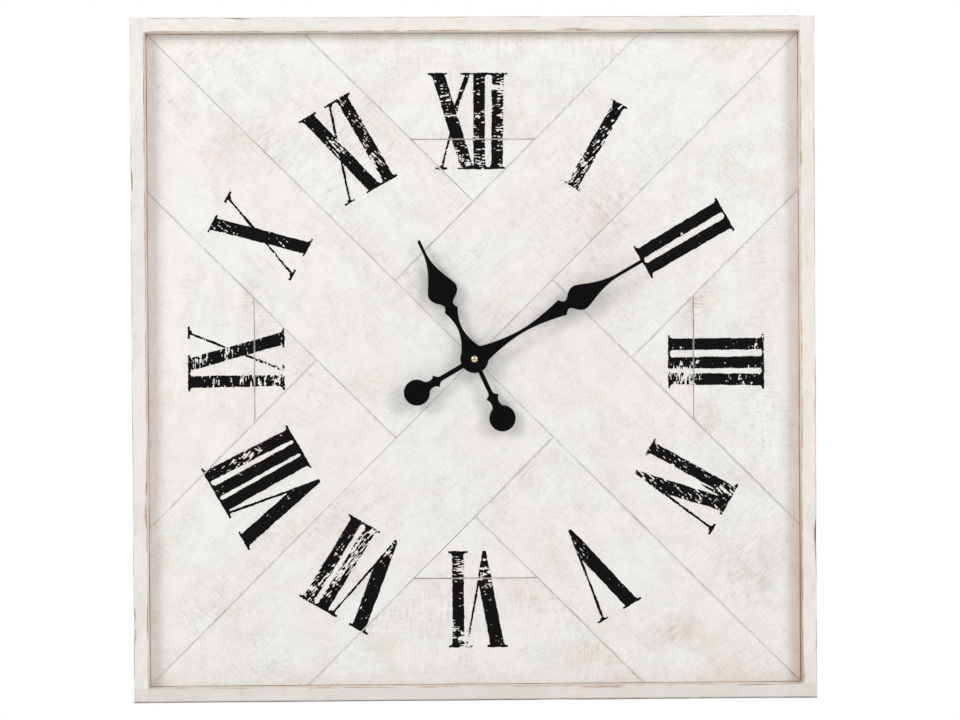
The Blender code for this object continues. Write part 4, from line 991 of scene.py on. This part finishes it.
def ink_depth(hour, u, v, x, z, sizes):
    """Distance inside the inked area, in mm, at places given across the numeral and up it."""
    _, letters, wear, patches = NUMERALS[hour]
    halves = sizes.stem_width / MM / 2, sizes.hair_width / MM / 2
    ink = np.full(u.shape, -1e3)
    for letter in letters:
        for polygon in strokes_of(letter, *halves, sizes.cap_height / MM):
            ink = np.maximum(ink, inside_distance(polygon, u, v))
    # The stencil's edge bled a little, finely and broadly.
    ink += 0.55 * (lattice_noise(u / 1.7, v / 1.7, hour) - 0.5)
    ink += 0.6 * (lattice_noise(u / 6, v / 6, hour + 20) - 0.5)
    key, joint, along, across = plank_under(x, z, sizes.plank_width)
    a, b = along / MM, across / MM
    rubbed = np.full(u.shape, wear)
    for pu, pv, half_u, half_v, strength in patches:
        rubbed += strength * np.exp(-(((u - pu) / half_u) ** 2) - ((v - pv) / half_v) ** 2)
    rubbed *= 0.7 + 0.6 * lattice_noise(u / 11, v / 11, hour + 40)
    # Bare specks lie along the plank's grain, with a few across it.
    bare = 0.52 * lattice_noise(a / 4.6, b / 0.85, hour + 60)
    bare += 0.30 * lattice_noise(a / 1.5, b / 0.75, hour + 80)
    bare += 0.18 * lattice_noise(a / 1.2, b / 5, hour + 100)
    ink = np.minimum(ink, (0.90 - 0.42 * rubbed - bare) * 9)
    return np.minimum(ink, joint / MM - 0.55), key


def contour_mesh(name, xs, ys, field, place):
    """The area where a field on a grid is positive, as faces cut off at its zero line."""
    verts, faces, known = [], [], {}

    def vertex(i, j, di=0, dj=0):
        """A grid point, or where the zero line crosses the step from it to the next point."""
        ends = tuple(sorted(((i, j), (i + di, j + dj))))
        if ends not in known:
            (i0, j0), (i1, j1) = ends
            t = 0.0
            if di or dj:
                t = min(max(field[j0, i0] / (field[j0, i0] - field[j1, i1]), 0.06), 0.94)
            known[ends] = len(verts)
            verts.append(place(xs[i0] + t * (xs[i1] - xs[i0]), ys[j0] + t * (ys[j1] - ys[j0])))
        return known[ends]

    rows, columns = field.shape
    inked = field > 0
    corners = ((0, 0), (1, 0), (1, 1), (0, 1))
    for j in range(rows - 1):
        for i in range(columns - 1):
            if not inked[j : j + 2, i : i + 2].any():
                continue
            ring = []
            for k, (ci, cj) in enumerate(corners):
                ni, nj = corners[(k + 1) % 4]
                here, there = inked[j + cj, i + ci], inked[j + nj, i + ni]
                if here:
                    ring.append(vertex(i + ci, j + cj))
                if here != there:
                    ring.append(vertex(i + ci, j + cj, ni - ci, nj - cj))
            faces.append(ring)
    mesh = bpy.data.meshes.new(name)
    mesh.from_pydata(verts, [], faces)
    obj = bpy.data.objects.new(name, mesh)
    bpy.context.scene.collection.objects.link(obj)
    return obj


def make_numeral(hour, sizes):
    """One stencilled numeral, its feet towards the hands' axis, as a thin film on the planks."""
    foot, letters, _, _ = NUMERALS[hour]
    pitch = sizes.ink_grid / MM
    spread = [value for letter in letters if letter[0] != "slash" for value in letter[1:]]
    beside, above = 12, 2  # room round the strokes for their serifs and for the bled edge, in mm
    us = np.arange(min(spread) - beside, max(spread) + beside, pitch)
    vs = np.arange(-above, sizes.cap_height / MM + above, pitch)
    turn = math.radians(30 * hour)
    sin, cos = math.sin(turn), math.cos(turn)

    def on_dial(u, v):
        reach = foot + v
        return (u * cos + reach * sin) * MM, (-u * sin + reach * cos) * MM

    u, v = np.meshgrid(us, vs)
    x, z = on_dial(u, v)
    field, keys = ink_depth(hour, u, v, x, z, sizes)
    lift = 0.05 * MM  # the film lies this far over the wood

    def place(pu, pv):
        px, pz = on_dial(pu, pv)
        i = min(int(round((pu - us[0]) / pitch)), len(us) - 1)
        j = min(int(round((pv - vs[0]) / pitch)), len(vs) - 1)
        wx, wz = px + AXIS.x, pz + AXIS.z
        return wx, PLANK_FRONT - lift - face_height(int(keys[j, i]), wx, wz, sizes), wz

    obj = edit(contour_mesh(f"numeral_{hour}", us, vs, field, place))
    bpy.ops.mesh.select_all(action="SELECT")
    bpy.ops.mesh.normals_make_consistent(inside=False)
    done(obj)
    if sum(face.normal.y for face in obj.data.polygons) > 0:
        obj.data.flip_normals()
    return add_modifier(obj, "SOLIDIFY", thickness=sizes.ink_thick, offset=1.0)


# ---- Hands ----

MINUTE_SHAPE = {
    "length": 176.0, "root": 7.4, "waist": (50.0, 1.6), "collar": (91.1, 7.7),
    "notch": (96.0, 3.9), "spade": (108.8, 11.6), "needle": (148.0, 1.5), "stem": 2.2,
    "barb": (39.4, 6.1), "neck": (44.6, 3.4), "weight": (59.5, 11.65),
}
HOUR_SHAPE = {
    "length": 117.0, "root": 8.6, "waist": (31.0, 2.0), "collar": (48.6, 6.5),
    "notch": (53.2, 4.2), "spade": (66.8, 13.7), "needle": (104.0, 1.4), "stem": 2.0,
    "barb": (37.9, 6.2), "neck": (44.0, 3.7), "weight": (58.7, 11.8),
}
HUB_RADIUS = 12.6


def curved(start, pull_start, pull_end, end, steps):
    """The points after the start of a cubic curve with two pulling points."""
    made = []
    for i in range(1, steps + 1):
        t = i / steps
        weights = ((1 - t) ** 3, 3 * t * (1 - t) ** 2, 3 * t**2 * (1 - t), t**3)
        knots = (start, pull_start, pull_end, end)
        made.append(sum((w * Vector(k) for w, k in zip(weights, knots)), Vector((0, 0))))
    return made


def around(centre, radius, start, end, steps):
    turns = [start + (end - start) * i / steps for i in range(steps + 1)]
    return [Vector(centre) + radius * Vector((math.cos(a), math.sin(a))) for a in turns]


def blade_side(hand):
    """The right side of a blade from its tip down to the hub, as half width and radius."""
    root, needle = hand["root"], hand["needle"][1]
    (waist_at, waist), (collar_at, collar) = hand["waist"], hand["collar"]
    (notch_at, notch), (spade_at, spade) = hand["notch"], hand["spade"]
    needle_at, length = hand["needle"][0], hand["length"]
    foot_at = math.sqrt(HUB_RADIUS**2 - root**2)
    rise, fall, step = spade_at - notch_at, needle_at - spade_at, notch_at - collar_at
    points = around((0, length - needle), needle, math.pi / 2, 0, 6)
    points.append(Vector((needle, needle_at)))
    for pull_start, pull_end, end, steps in (
        ((1.25 * needle, needle_at - 0.51 * fall), (spade, spade_at + 0.15 * fall),
         (spade, spade_at), 24),
        ((0.98 * spade, spade_at - 0.58 * rise), (1.17 * notch, notch_at + 0.31 * rise),
         (notch, notch_at), 18),
        ((1.08 * notch, notch_at - 0.5 * step), (0.85 * collar, collar_at + 0.15 * step),
         (collar, collar_at), 8),
        ((0.62 * collar, collar_at - 0.3 * (collar_at - waist_at)),
         (waist, waist_at + 0.35 * (collar_at - waist_at)), (waist, waist_at), 18),
        ((waist, waist_at - 0.35 * (waist_at - foot_at)),
         (0.58 * root, foot_at + 0.28 * (waist_at - foot_at)), (root, foot_at), 18),
    ):
        points += curved(points[-1], pull_start, pull_end, end, steps)
    return points


def tail_side(hand):
    """The right side of a tail from the hub down to the end of its round weight."""
    line, (barb_at, barb), (neck_at, neck) = hand["stem"], hand["barb"], hand["neck"]
    weight_at, weight = hand["weight"]
    foot_at = math.sqrt(HUB_RADIUS**2 - line**2)
    start = math.radians(62)
    shoulder = Vector((0, -weight_at)) + weight * Vector((math.cos(start), math.sin(start)))
    points = [Vector((line, -foot_at)), Vector((line, -0.87 * barb_at))]
    reach = weight_at - neck_at - weight * math.sin(start)
    for pull_start, pull_end, end, steps in (
        ((line, -0.92 * barb_at), (0.55 * barb, -0.95 * barb_at), (barb, -barb_at), 8),
        ((0.62 * barb, -barb_at - 0.35 * (neck_at - barb_at)),
         (neck, -neck_at + 0.45 * (neck_at - barb_at)), (neck, -neck_at), 8),
        ((1.04 * neck, -neck_at - 0.32 * reach - 1.0),
         (shoulder.x - 0.35 * neck, shoulder.y + 0.9), shoulder, 8),
    ):
        points += curved(points[-1], pull_start, pull_end, end, steps)
    return points + around((0, -weight_at), weight, start, -math.pi / 2, 30)[1:]


def hand_plate(hand, back, front, clockwise, bore, arris):
    """A hand stamped from sheet, with a round bore, turned to the time it shows."""
    side = blade_side(hand)
    root = math.pi / 2 - math.asin(hand["root"] / HUB_RADIUS)
    line = math.asin(hand["stem"] / HUB_RADIUS) - math.pi / 2
    side += around((0, 0), HUB_RADIUS, root, line, 20)[1:-1] + tail_side(hand)
    ring = side + [Vector((-point.x, point.y)) for point in side[-2:0:-1]]
    hole = around((0, 0), bore, 0, math.tau, 32)[:-1]
    place = (
        Matrix.Translation((AXIS.x, (front + back) / 2, AXIS.z))
        @ Matrix.Rotation(math.radians(clockwise), 4, "Y")
        @ Matrix.Rotation(math.pi / 2, 4, "X")
    )
    outlines = [[point * MM for point in outline] for outline in (ring, hole)]
    return filled_plate(outlines, abs(front - back), arris, place)


def turned(profile, centre, axis="Y", steps=64):
    """A shape turned about an axis through a centre. Its profile is a closed ring of radius and
    place along the axis, in metres from the centre, and it ends on the axis at most twice."""
    centre = Vector(centre)
    line = Vector([float(letter == axis) for letter in "XYZ"])
    out = Vector((0, 0, 1)) if axis != "Z" else Vector((1, 0, 0))
    only_nothing()
    bpy.ops.mesh.primitive_circle_add(vertices=len(profile), radius=MM, fill_type="NOTHING")
    obj = bpy.context.object
    obj.matrix_world = Matrix()
    for vert, (radius, place) in zip(obj.data.vertices, profile):
        vert.co = centre + out * max(radius, 0.002 * MM) + line * place
    edit(obj)
    bpy.ops.mesh.select_all(action="SELECT")
    bpy.ops.mesh.spin(steps=steps, angle=math.tau, center=centre, axis=line, dupli=False)
    return welded(obj, 0.006 * MM)


def domed(radius, base, top, edge=0.3, steps=10):
    """The profile of a solid button: flat below, upright for a share of its height, then domed."""
    rise = (top - base) * (1 - edge)
    dome = [
        (radius * math.cos(math.pi / 2 * i / steps),
         top - rise + rise * math.sin(math.pi / 2 * i / steps))
        for i in range(steps + 1)
    ]
    return [(0, base), (radius * 0.94, base), (radius, base + (top - base) * 0.08)] + dome


# ---- Back and movement ----


def nail_profile(length):
    """A wire nail from its point to its domed head, which lies towards -Y."""
    shank, head, dome, steps = 0.7 * MM, 1.9 * MM, 0.45 * MM, 6
    profile = [
        (0, length), (shank, length - 1.2 * MM), (shank, dome + 0.30 * MM),
        (head, dome + 0.17 * MM), (head + 0.05 * MM, dome + 0.05 * MM),
    ]
    turns = [math.pi / 2 * i / steps for i in range(steps + 1)]
    return profile + [(head * math.cos(t), dome * (1 - math.sin(t))) for t in turns]


def knurled(centre, radius, depth, ridges):
    """A short cylinder along Y whose rim has fine ridges."""
    wheel = disc(centre, radius, depth, sides=2 * ridges)
    edit(wheel)

    def valley(vert):
        angle = math.atan2(vert.co.z - centre[2], vert.co.x - centre[0])
        return round(angle / math.tau * 2 * ridges) % 2 == 0

    pick(wheel, "verts", valley)
    bpy.ops.mesh.select_mode(type="VERT")
    mesh = bmesh.from_edit_mesh(wheel.data)
    for vert in mesh.verts:
        if vert.select:
            vert.co.x += (centre[0] - vert.co.x) * 0.06
            vert.co.z += (centre[2] - vert.co.z) * 0.06
    bmesh.update_edit_mesh(wheel.data)
    return round_edges(done(wheel), 0.12 * MM, 1, 60)


def curved_arrow(centre, radius, start, end, wide, low, high):
    """A raised moulded arrow that runs part of the way round a centre, between two places on Y."""
    steps = 20
    inner = around((0, 0), radius - wide / 2, start, end, steps)
    outer = around((0, 0), radius + wide / 2, start, end, steps)
    tip_turn = end + math.copysign(wide * 1.6 / radius, end - start)
    tip = Vector((math.cos(tip_turn), math.sin(tip_turn))) * radius
    head = [outer[-1] * (1 + 0.7 * wide / radius), tip, inner[-1] * (1 - 0.7 * wide / radius)]
    place = Matrix.Translation((centre[0], (low + high) / 2, centre[2]))
    return filled_plate(
        [outer + head + inner[::-1]], high - low, 0.0, place @ Matrix.Rotation(math.pi / 2, 4, "X")
    )


def cell_profile():
    """An AA cell, from its flat end to its nub: crimped can, film with rolled ends, and collar."""
    low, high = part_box("aa_battery")
    radius, end = (high.z - low.z) / 2, (high.x - low.x) / 2
    return radius, [
        (0, -end + 0.35 * MM), (radius - 2.6 * MM, -end + 0.35 * MM), (radius - 2.2 * MM, -end),
        (radius - 0.9 * MM, -end), (radius - 0.5 * MM, -end + 0.25 * MM),
        (radius - 0.5 * MM, -end + 0.6 * MM), (radius - 0.12 * MM, -end + 0.7 * MM),
        (radius, -end + 1.0 * MM), (radius, end - 2.5 * MM), (radius - 0.12 * MM, end - 2.2 * MM),
        (radius - 0.35 * MM, end - 2.1 * MM), (radius - 0.35 * MM, end - 1.7 * MM),
        (radius - 0.9 * MM, end - 1.25 * MM), (radius - 2.4 * MM, end - 1.2 * MM),
        (radius - 2.6 * MM, end - 1.0 * MM), (2.8 * MM, end - 1.0 * MM),
        (2.65 * MM, end - 0.9 * MM), (2.6 * MM, end - 0.2 * MM), (2.3 * MM, end), (0, end),
    ]


# ---- Operators ----

# The finish of the CAD pieces of each material
SLOT_FINISHES = {
    "bare_plywood": "plywood", "pine_batten": "pine", "zinc_steel": "zinc_plate",
    "clear_rubber": "nitrile_rubber", "brass": "spring_brass", "black_abs": "moulded_abs",
    "white_acetal": "acetal", "magnet": "sintered_ferrite", "silicon_steel": "silicon_steel",
    "enamelled_copper": "enamelled_copper", "circuit_board": "solder_mask",
    "battery_jacket": "cell_jacket",
}
ROOM_LIGHT = 0.40
# name, place from the middle of the dial, watts, size across in metres
LAMPS = (
    ("key_right", (1.60, -1.25, 0.90), 16.5, 0.9),
    ("fill_left", (-1.60, -1.25, 0.90), 19.2, 0.9),
    ("front", (0.0, -2.3, 1.2), 2.9, 1.4),
    ("fill_back", (0.6, 2.2, 0.8), 30.0, 1.2),
)
FLOOR_SIZE, FLOOR_PLACE = 5, (0, -0.9, -0.95)  # a sheet of pale card under and before the clock
CAMERA_PLACE = (-0.0211, -1.9, 0.0123)  # from the hands' axis, at the rails' front faces
CAMERA_LENS = 79.9  # on a sensor 36 mm wide
CAMERA_TURNS = ((-0.0069, "X"), (0.0060, "Y"), (-0.0137, "Z"), (math.pi / 2, "X"))
# For each hand: its shape, how far it is turned clockwise, its bore in mm and its body
HANDS = {
    "hour": (HOUR_SHAPE, 335, 2.8, "hour_group"),
    "minute": (MINUTE_SHAPE, 60, 1.8, "minute_group"),
}


class ClockOperator(bpy.types.Operator):
    """What the clock's operators share"""

    bl_options = {"REGISTER", "UNDO"}

    @property
    def sizes(self):
        return bpy.context.scene.clock_sizes


class CLOCK_OT_rails(ClockOperator):
    """Makes the four scraped and painted rails of the frame"""

    bl_idname = "clock.rails"
    bl_label = "Frame rails"

    def execute(self, context):
        for side in QUARTERS:
            obj = rail_piece(side, self.sizes.rail_arris)
            settle(obj, f"rail_{side}", "rails", CLOCK, "rail_paint", f"frame_rail_{side}")
        return {"FINISHED"}


class CLOCK_OT_planks(ClockOperator):
    """Makes the sixteen whitewashed planks of the dial"""

    bl_idname = "clock.planks"
    bl_label = "Dial planks"

    def execute(self, context):
        for side in QUARTERS:
            for kind in PLANK_KINDS:
                obj = shape_plank(kind, side, self.sizes)
                settle(obj, f"board_{kind}_{side}", "planks", CLOCK, "plank_whitewash",
                       f"plank_{kind}_{side}")
        return {"FINISHED"}


class CLOCK_OT_numerals(ClockOperator):
    """Stencils the twelve worn Roman numerals on the planks"""

    bl_idname = "clock.numerals"
    bl_label = "Numerals"

    def execute(self, context):
        for hour in NUMERALS:
            settle(make_numeral(hour, self.sizes), f"numeral_{hour}", "stencil_ink", CLOCK,
                   "black_paint")
        return {"FINISHED"}


class CLOCK_OT_hands(ClockOperator):
    """Stamps the two spade hands and turns the cap nut that holds them"""

    bl_idname = "clock.hands"
    bl_label = "Hands"

    def execute(self, context):
        for name, (shape, clockwise, bore, body) in HANDS.items():
            front, back = (corner.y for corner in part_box(f"{name}_hand"))
            plate = hand_plate(shape, back, front, clockwise, bore, self.sizes.hand_arris)
            settle(smooth(plate, 40), f"{name}_spade_hand", "stoved_enamel", body, "black_paint",
                   f"{name}_hand")
        front, back = (corner.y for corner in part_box("cap_nut"))
        profile = domed(3.3 * MM, -back, -front, edge=0.32, steps=14)
        roof = (-back - front) / 2
        profile = [(0, roof), (1.8 * MM, roof), (1.8 * MM, -back)] + profile[1:]
        cap = turned([(radius, -place) for radius, place in profile], (AXIS.x, 0, AXIS.z))
        settle(smooth(cap, 30), "domed_cap_nut", "lacquered_brass", "minute_group", "brass",
               "cap_nut")
        return {"FINISHED"}


class CLOCK_OT_clamping(ClockOperator):
    """Makes the washer, the hexagon nut and the gasket that clamp the movement to the dial"""

    bl_idname = "clock.clamping"
    bl_label = "Clamping pieces"

    def execute(self, context):
        for node, name, finish, slot, width in (
            ("dial_washer", "clamp_washer", "lacquered_brass", "brass", 0.15),
            ("hex_nut", "clamp_nut", "lacquered_brass", "brass", 0.35),
            ("rubber_gasket", "gasket_ring", "nitrile_rubber", "clear_rubber", 0.2),
        ):
            piece = smooth(round_edges(copy_of(node), width * MM, 2, 30), 30)
            settle(piece, name, finish, CLOCK, slot, node)
        return {"FINISHED"}


class CLOCK_OT_back(ClockOperator):
    """Makes the plywood backer with its pins, the batten, the hanger and the wall bumpers"""

    bl_idname = "clock.back"
    bl_label = "Back of the clock"

    def execute(self, context):
        backer = round_edges(copy_of("backer_panel"), 0.35 * MM, 2, 40)
        lay_grain(backer, (0, 0, 1), (0.4, 0.7, 0.1))
        settle(smooth(backer), "plywood_backer", "plywood", CLOCK, "bare_plywood", "backer_panel")
        batten = round_edges(copy_of("hanging_batten"), 0.9 * MM, 3, 40)
        lay_grain(batten, (1, 0, 0), (0.2, 0.35, 0.6))
        settle(smooth(batten), "planed_batten", "pine", CLOCK, "pine_batten", "hanging_batten")
        hanger = round_edges(copy_of("sawtooth_hanger"), 0.18 * MM, 2, 25)
        settle(smooth(hanger), "sawtooth_strip", "zinc_plate", CLOCK, "zinc_steel",
               "sawtooth_hanger")
        for side in ("left", "right"):
            low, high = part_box(f"hanger_nail_{side}")
            at = (low + high) / 2
            nail = turned(nail_profile(high.y - low.y), (at.x, low.y, at.z))
            settle(smooth(nail), f"batten_nail_{side}", "zinc_plate", CLOCK, "zinc_steel",
                   f"hanger_nail_{side}")
            low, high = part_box(f"wall_bumper_{side}")
            at = (low + high) / 2
            profile = domed((high.x - low.x) / 2, low.y, high.y, edge=0.25)
            bumper = turned(profile, (at.x, 0, at.z))
            settle(smooth(bumper), f"bumper_{side}", "polyurethane", CLOCK, "clear_rubber",
                   f"wall_bumper_{side}")
        self.pins()
        return {"FINISHED"}

    def pins(self):
        """Panel pins round the backer's edge, their low heads just proud of it."""
        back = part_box("backer_panel")[1].y
        pin = turned(domed(1.3 * MM, back - 1.5 * MM, back + 0.35 * MM, edge=0.7, steps=5),
                     (0, 0, 0), steps=16)
        reach = OPENING - 9 * MM
        places = []
        for share in (-1.0, -0.5, 0.0, 0.5, 1.0):  # along the foot and both sides
            slide = 0.94 * reach * share
            places += [(slide, -reach), (-reach, slide), (reach, slide)]
        made = []
        for x, z in places:
            one = pin.copy()
            one.data = pin.data.copy()
            bpy.context.scene.collection.objects.link(one)
            one.data.transform(Matrix.Translation((AXIS.x + x, 0, AXIS.z + z)))
            made.append(one)
        bpy.data.objects.remove(pin, do_unlink=True)
        only(made[0])
        for one in made:
            one.select_set(True)
        bpy.ops.object.join()
        settle(smooth(bpy.context.object), "panel_pins", "zinc_plate", CLOCK, "zinc_steel")


class CLOCK_OT_movement(ClockOperator):
    """Makes the movement's moulded case and cover, the setting knob and the AA cell"""

    bl_idname = "clock.movement"
    bl_label = "Quartz movement"

    def execute(self, context):
        settle(self.shell(), "movement_shell", "moulded_abs", CLOCK, "black_abs", "movement_case")
        settle(self.lid(), "movement_lid", "moulded_abs", CLOCK, "black_abs", "movement_cover")
        settle(self.knob(), "knurled_knob", "acetal", "setting_shaft", "white_acetal",
               "setting_knob")
        radius, profile = cell_profile()
        centre = middle("aa_battery")
        cell = smooth(turned(profile, centre, axis="X"), 35)
        settle(cell, "aa_cell", "cell_jacket", CLOCK, "battery_jacket", "aa_battery")
        cell.data.materials.append(FINISHES["tin_plate"])
        for face in cell.data.polygons:
            if (face.center - centre).yz.length < radius - 0.2 * MM:  # inside the jacket's rim
                face.material_index = 1
        return {"FINISHED"}

    def shell(self):
        """The case, with two thumb notches over the cell."""
        low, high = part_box("movement_case")
        case = copy_of("movement_case")
        inset = (high.x - low.x) / 3
        for x in (low.x + inset, high.x - inset):
            carve(case, disc((x, high.y + 2.2 * MM, low.z), 6 * MM, 12 * MM, axis="X"))
        return smooth(round_edges(case, 0.35 * MM, 2, 50), 40)

    def lid(self):
        """The cover, with a moulded arrow round the knob and six grip ribs."""
        knob = middle("setting_knob")
        low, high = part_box("movement_cover")
        foot, top = high.y - 0.2 * MM, high.y + 0.35 * MM  # of what stands on the cover
        lid = copy_of("movement_cover")
        edit(lid)
        pick(lid, "faces", lambda face: face.normal.y > 0.99)
        bpy.ops.mesh.inset(thickness=1.6 * MM)
        done(lid)
        round_edges(lid, 0.15 * MM, 2, 50)
        start, end = math.radians(200), math.radians(-20)
        arrow = curved_arrow(knob, 7.6 * MM, start, end, 1.3 * MM, foot, top)
        left, right = high.x - 20 * MM, high.x - 4 * MM
        ribs = [
            block((left, foot, low.z + height * MM), (right, top, low.z + (height + 0.9) * MM))
            for height in (3.0, 5.4, 7.8, 10.2, 12.6, 15.0)
        ]
        return smooth(carve(lid, arrow, *ribs, operation="UNION"), 40)

    def knob(self):
        """The setting knob: a knurled and slotted head in place of the plain one."""
        at, end, thick = middle("setting_knob"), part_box("setting_knob")[1].y, 2.0 * MM
        head = knurled((at.x, end - thick / 2, at.z), 4.6 * MM, thick, 40)
        slot = block((at.x - 3.2 * MM, end - 0.5 * MM, at.z - 0.45 * MM),
                     (at.x + 3.2 * MM, end + thick, at.z + 0.45 * MM))
        carve(head, slot)
        plain = disc((at.x, end + 0.05 * MM, at.z), 6 * MM, 2 * thick - 0.2 * MM)
        turner = carve(copy_of("setting_knob"), plain)
        return smooth(carve(turner, head, operation="UNION"), 35)


class CLOCK_OT_cad_finishes(ClockOperator):
    """Gives the pieces that keep their CAD shape the finish of their material"""

    bl_idname = "clock.cad_finishes"
    bl_label = "Finishes of the plain pieces"

    def execute(self, context):
        for part in frame["record"]["subparts"]:
            finish = SLOT_FINISHES.get(part["material_slot"])
            if finish:
                for slot in bpy.data.objects[part["node"]].material_slots:
                    slot.material = FINISHES[finish]
        return {"FINISHED"}


class CLOCK_OT_stage(ClockOperator):
    """Sets up the floor, the lights and the camera"""

    bl_idname = "clock.stage"
    bl_label = "Stage"

    def execute(self, context):
        scene = context.scene
        scene.view_settings.view_transform = "Standard"
        world = bpy.data.worlds.new("pale_room")
        scene.world = world
        world.use_nodes = True
        tree = world.node_tree
        tree.nodes.clear()
        seen = add_node(tree, "LightPath").outputs["Is Camera Ray"]
        glow = add_node(tree, "Background", {"Color": (1, 1, 1, 1), "Strength": ROOM_LIGHT})
        card = add_node(tree, "Background", {"Color": (1, 1, 1, 1), "Strength": 1.0})
        both = add_node(tree, "MixShader", {0: seen, 1: glow, 2: card})
        end = add_node(tree, "OutputWorld")
        tree.links.new(both.outputs[0], end.inputs["Surface"])

        only_nothing()
        bpy.ops.mesh.primitive_plane_add(size=FLOOR_SIZE, location=FLOOR_PLACE)
        floor = bpy.context.object
        floor.name = "floor"
        paper, tree, shader = new_finish("floor_paper")  # matt white card with 3 mm fibres
        place = add_node(tree, "TexCoord").outputs["Object"]
        fibre = mottling(tree, place, (300, 300, 300))
        tone = lay_coats(tree, linear("#FFFFFF"), (linear("#F4F4F3"), 1.0, fibre))
        tree.links.new(tone.outputs[COLOUR_OUT], shader.inputs["Base Color"])
        shader.inputs["Roughness"].default_value = 0.9
        floor.data.materials.append(paper)

        target = Vector((AXIS.x, PLANK_FRONT, AXIS.z))
        for name, place, power, size in LAMPS:
            data = bpy.data.lights.new(name, "AREA")
            data.energy, data.shape, data.size = power, "DISK", size
            lamp = bpy.data.objects.new(name, data)
            lamp.location = target + Vector(place)
            lamp.rotation_euler = (-Vector(place)).to_track_quat("-Z", "Y").to_euler()
            scene.collection.objects.link(lamp)

        data = bpy.data.cameras.new("camera")
        data.lens, data.sensor_width = CAMERA_LENS, 36.0
        camera = bpy.data.objects.new("camera", data)
        place = Matrix.Translation(Vector((AXIS.x, RAIL_FRONT, AXIS.z)) + Vector(CAMERA_PLACE))
        for angle, axis in CAMERA_TURNS:
            place = place @ Matrix.Rotation(angle, 4, axis)
        camera.matrix_world = place
        scene.collection.objects.link(camera)
        scene.camera = camera
        return {"FINISHED"}


OPERATORS = (
    CLOCK_OT_stage, CLOCK_OT_rails, CLOCK_OT_planks, CLOCK_OT_numerals, CLOCK_OT_hands,
    CLOCK_OT_clamping, CLOCK_OT_back, CLOCK_OT_movement, CLOCK_OT_cad_finishes,
)


class CLOCK_PT_panel(bpy.types.Panel):
    """Lists the clock's groups of pieces, its sizes and its colours"""

    bl_label = "Wall clock"
    bl_idname = "CLOCK_PT_panel"
    bl_space_type = "VIEW_3D"
    bl_region_type = "UI"
    bl_category = "Wall clock"

    def draw(self, context):
        layout = self.layout
        for operator in OPERATORS:
            layout.operator(operator.bl_idname)
        for group in (context.scene.clock_sizes, context.scene.clock_colours):
            box = layout.box()
            for name in group.bl_rna.properties.keys():
                if name not in ("rna_type", "name"):
                    box.prop(group, name)


CLASSES = (ClockSizes, ClockColours, *OPERATORS, CLOCK_PT_panel)


def register():
    for cls in CLASSES:
        bpy.utils.register_class(cls)
    bpy.types.Scene.clock_sizes = PointerProperty(type=ClockSizes)
    bpy.types.Scene.clock_colours = PointerProperty(type=ClockColours)


def unregister():
    del bpy.types.Scene.clock_colours
    del bpy.types.Scene.clock_sizes
    for cls in reversed(CLASSES):
        bpy.utils.unregister_class(cls)


def main():
    register()
    make_finishes(bpy.context.scene.clock_colours)
    bpy.ops.clock.stage()
    bpy.ops.clock.rails()
    bpy.ops.clock.planks()
    bpy.ops.clock.numerals()
    bpy.ops.clock.hands()
    bpy.ops.clock.clamping()
    bpy.ops.clock.back()
    bpy.ops.clock.movement()
    bpy.ops.clock.cad_finishes()


if __name__ == "__main__":
    main()
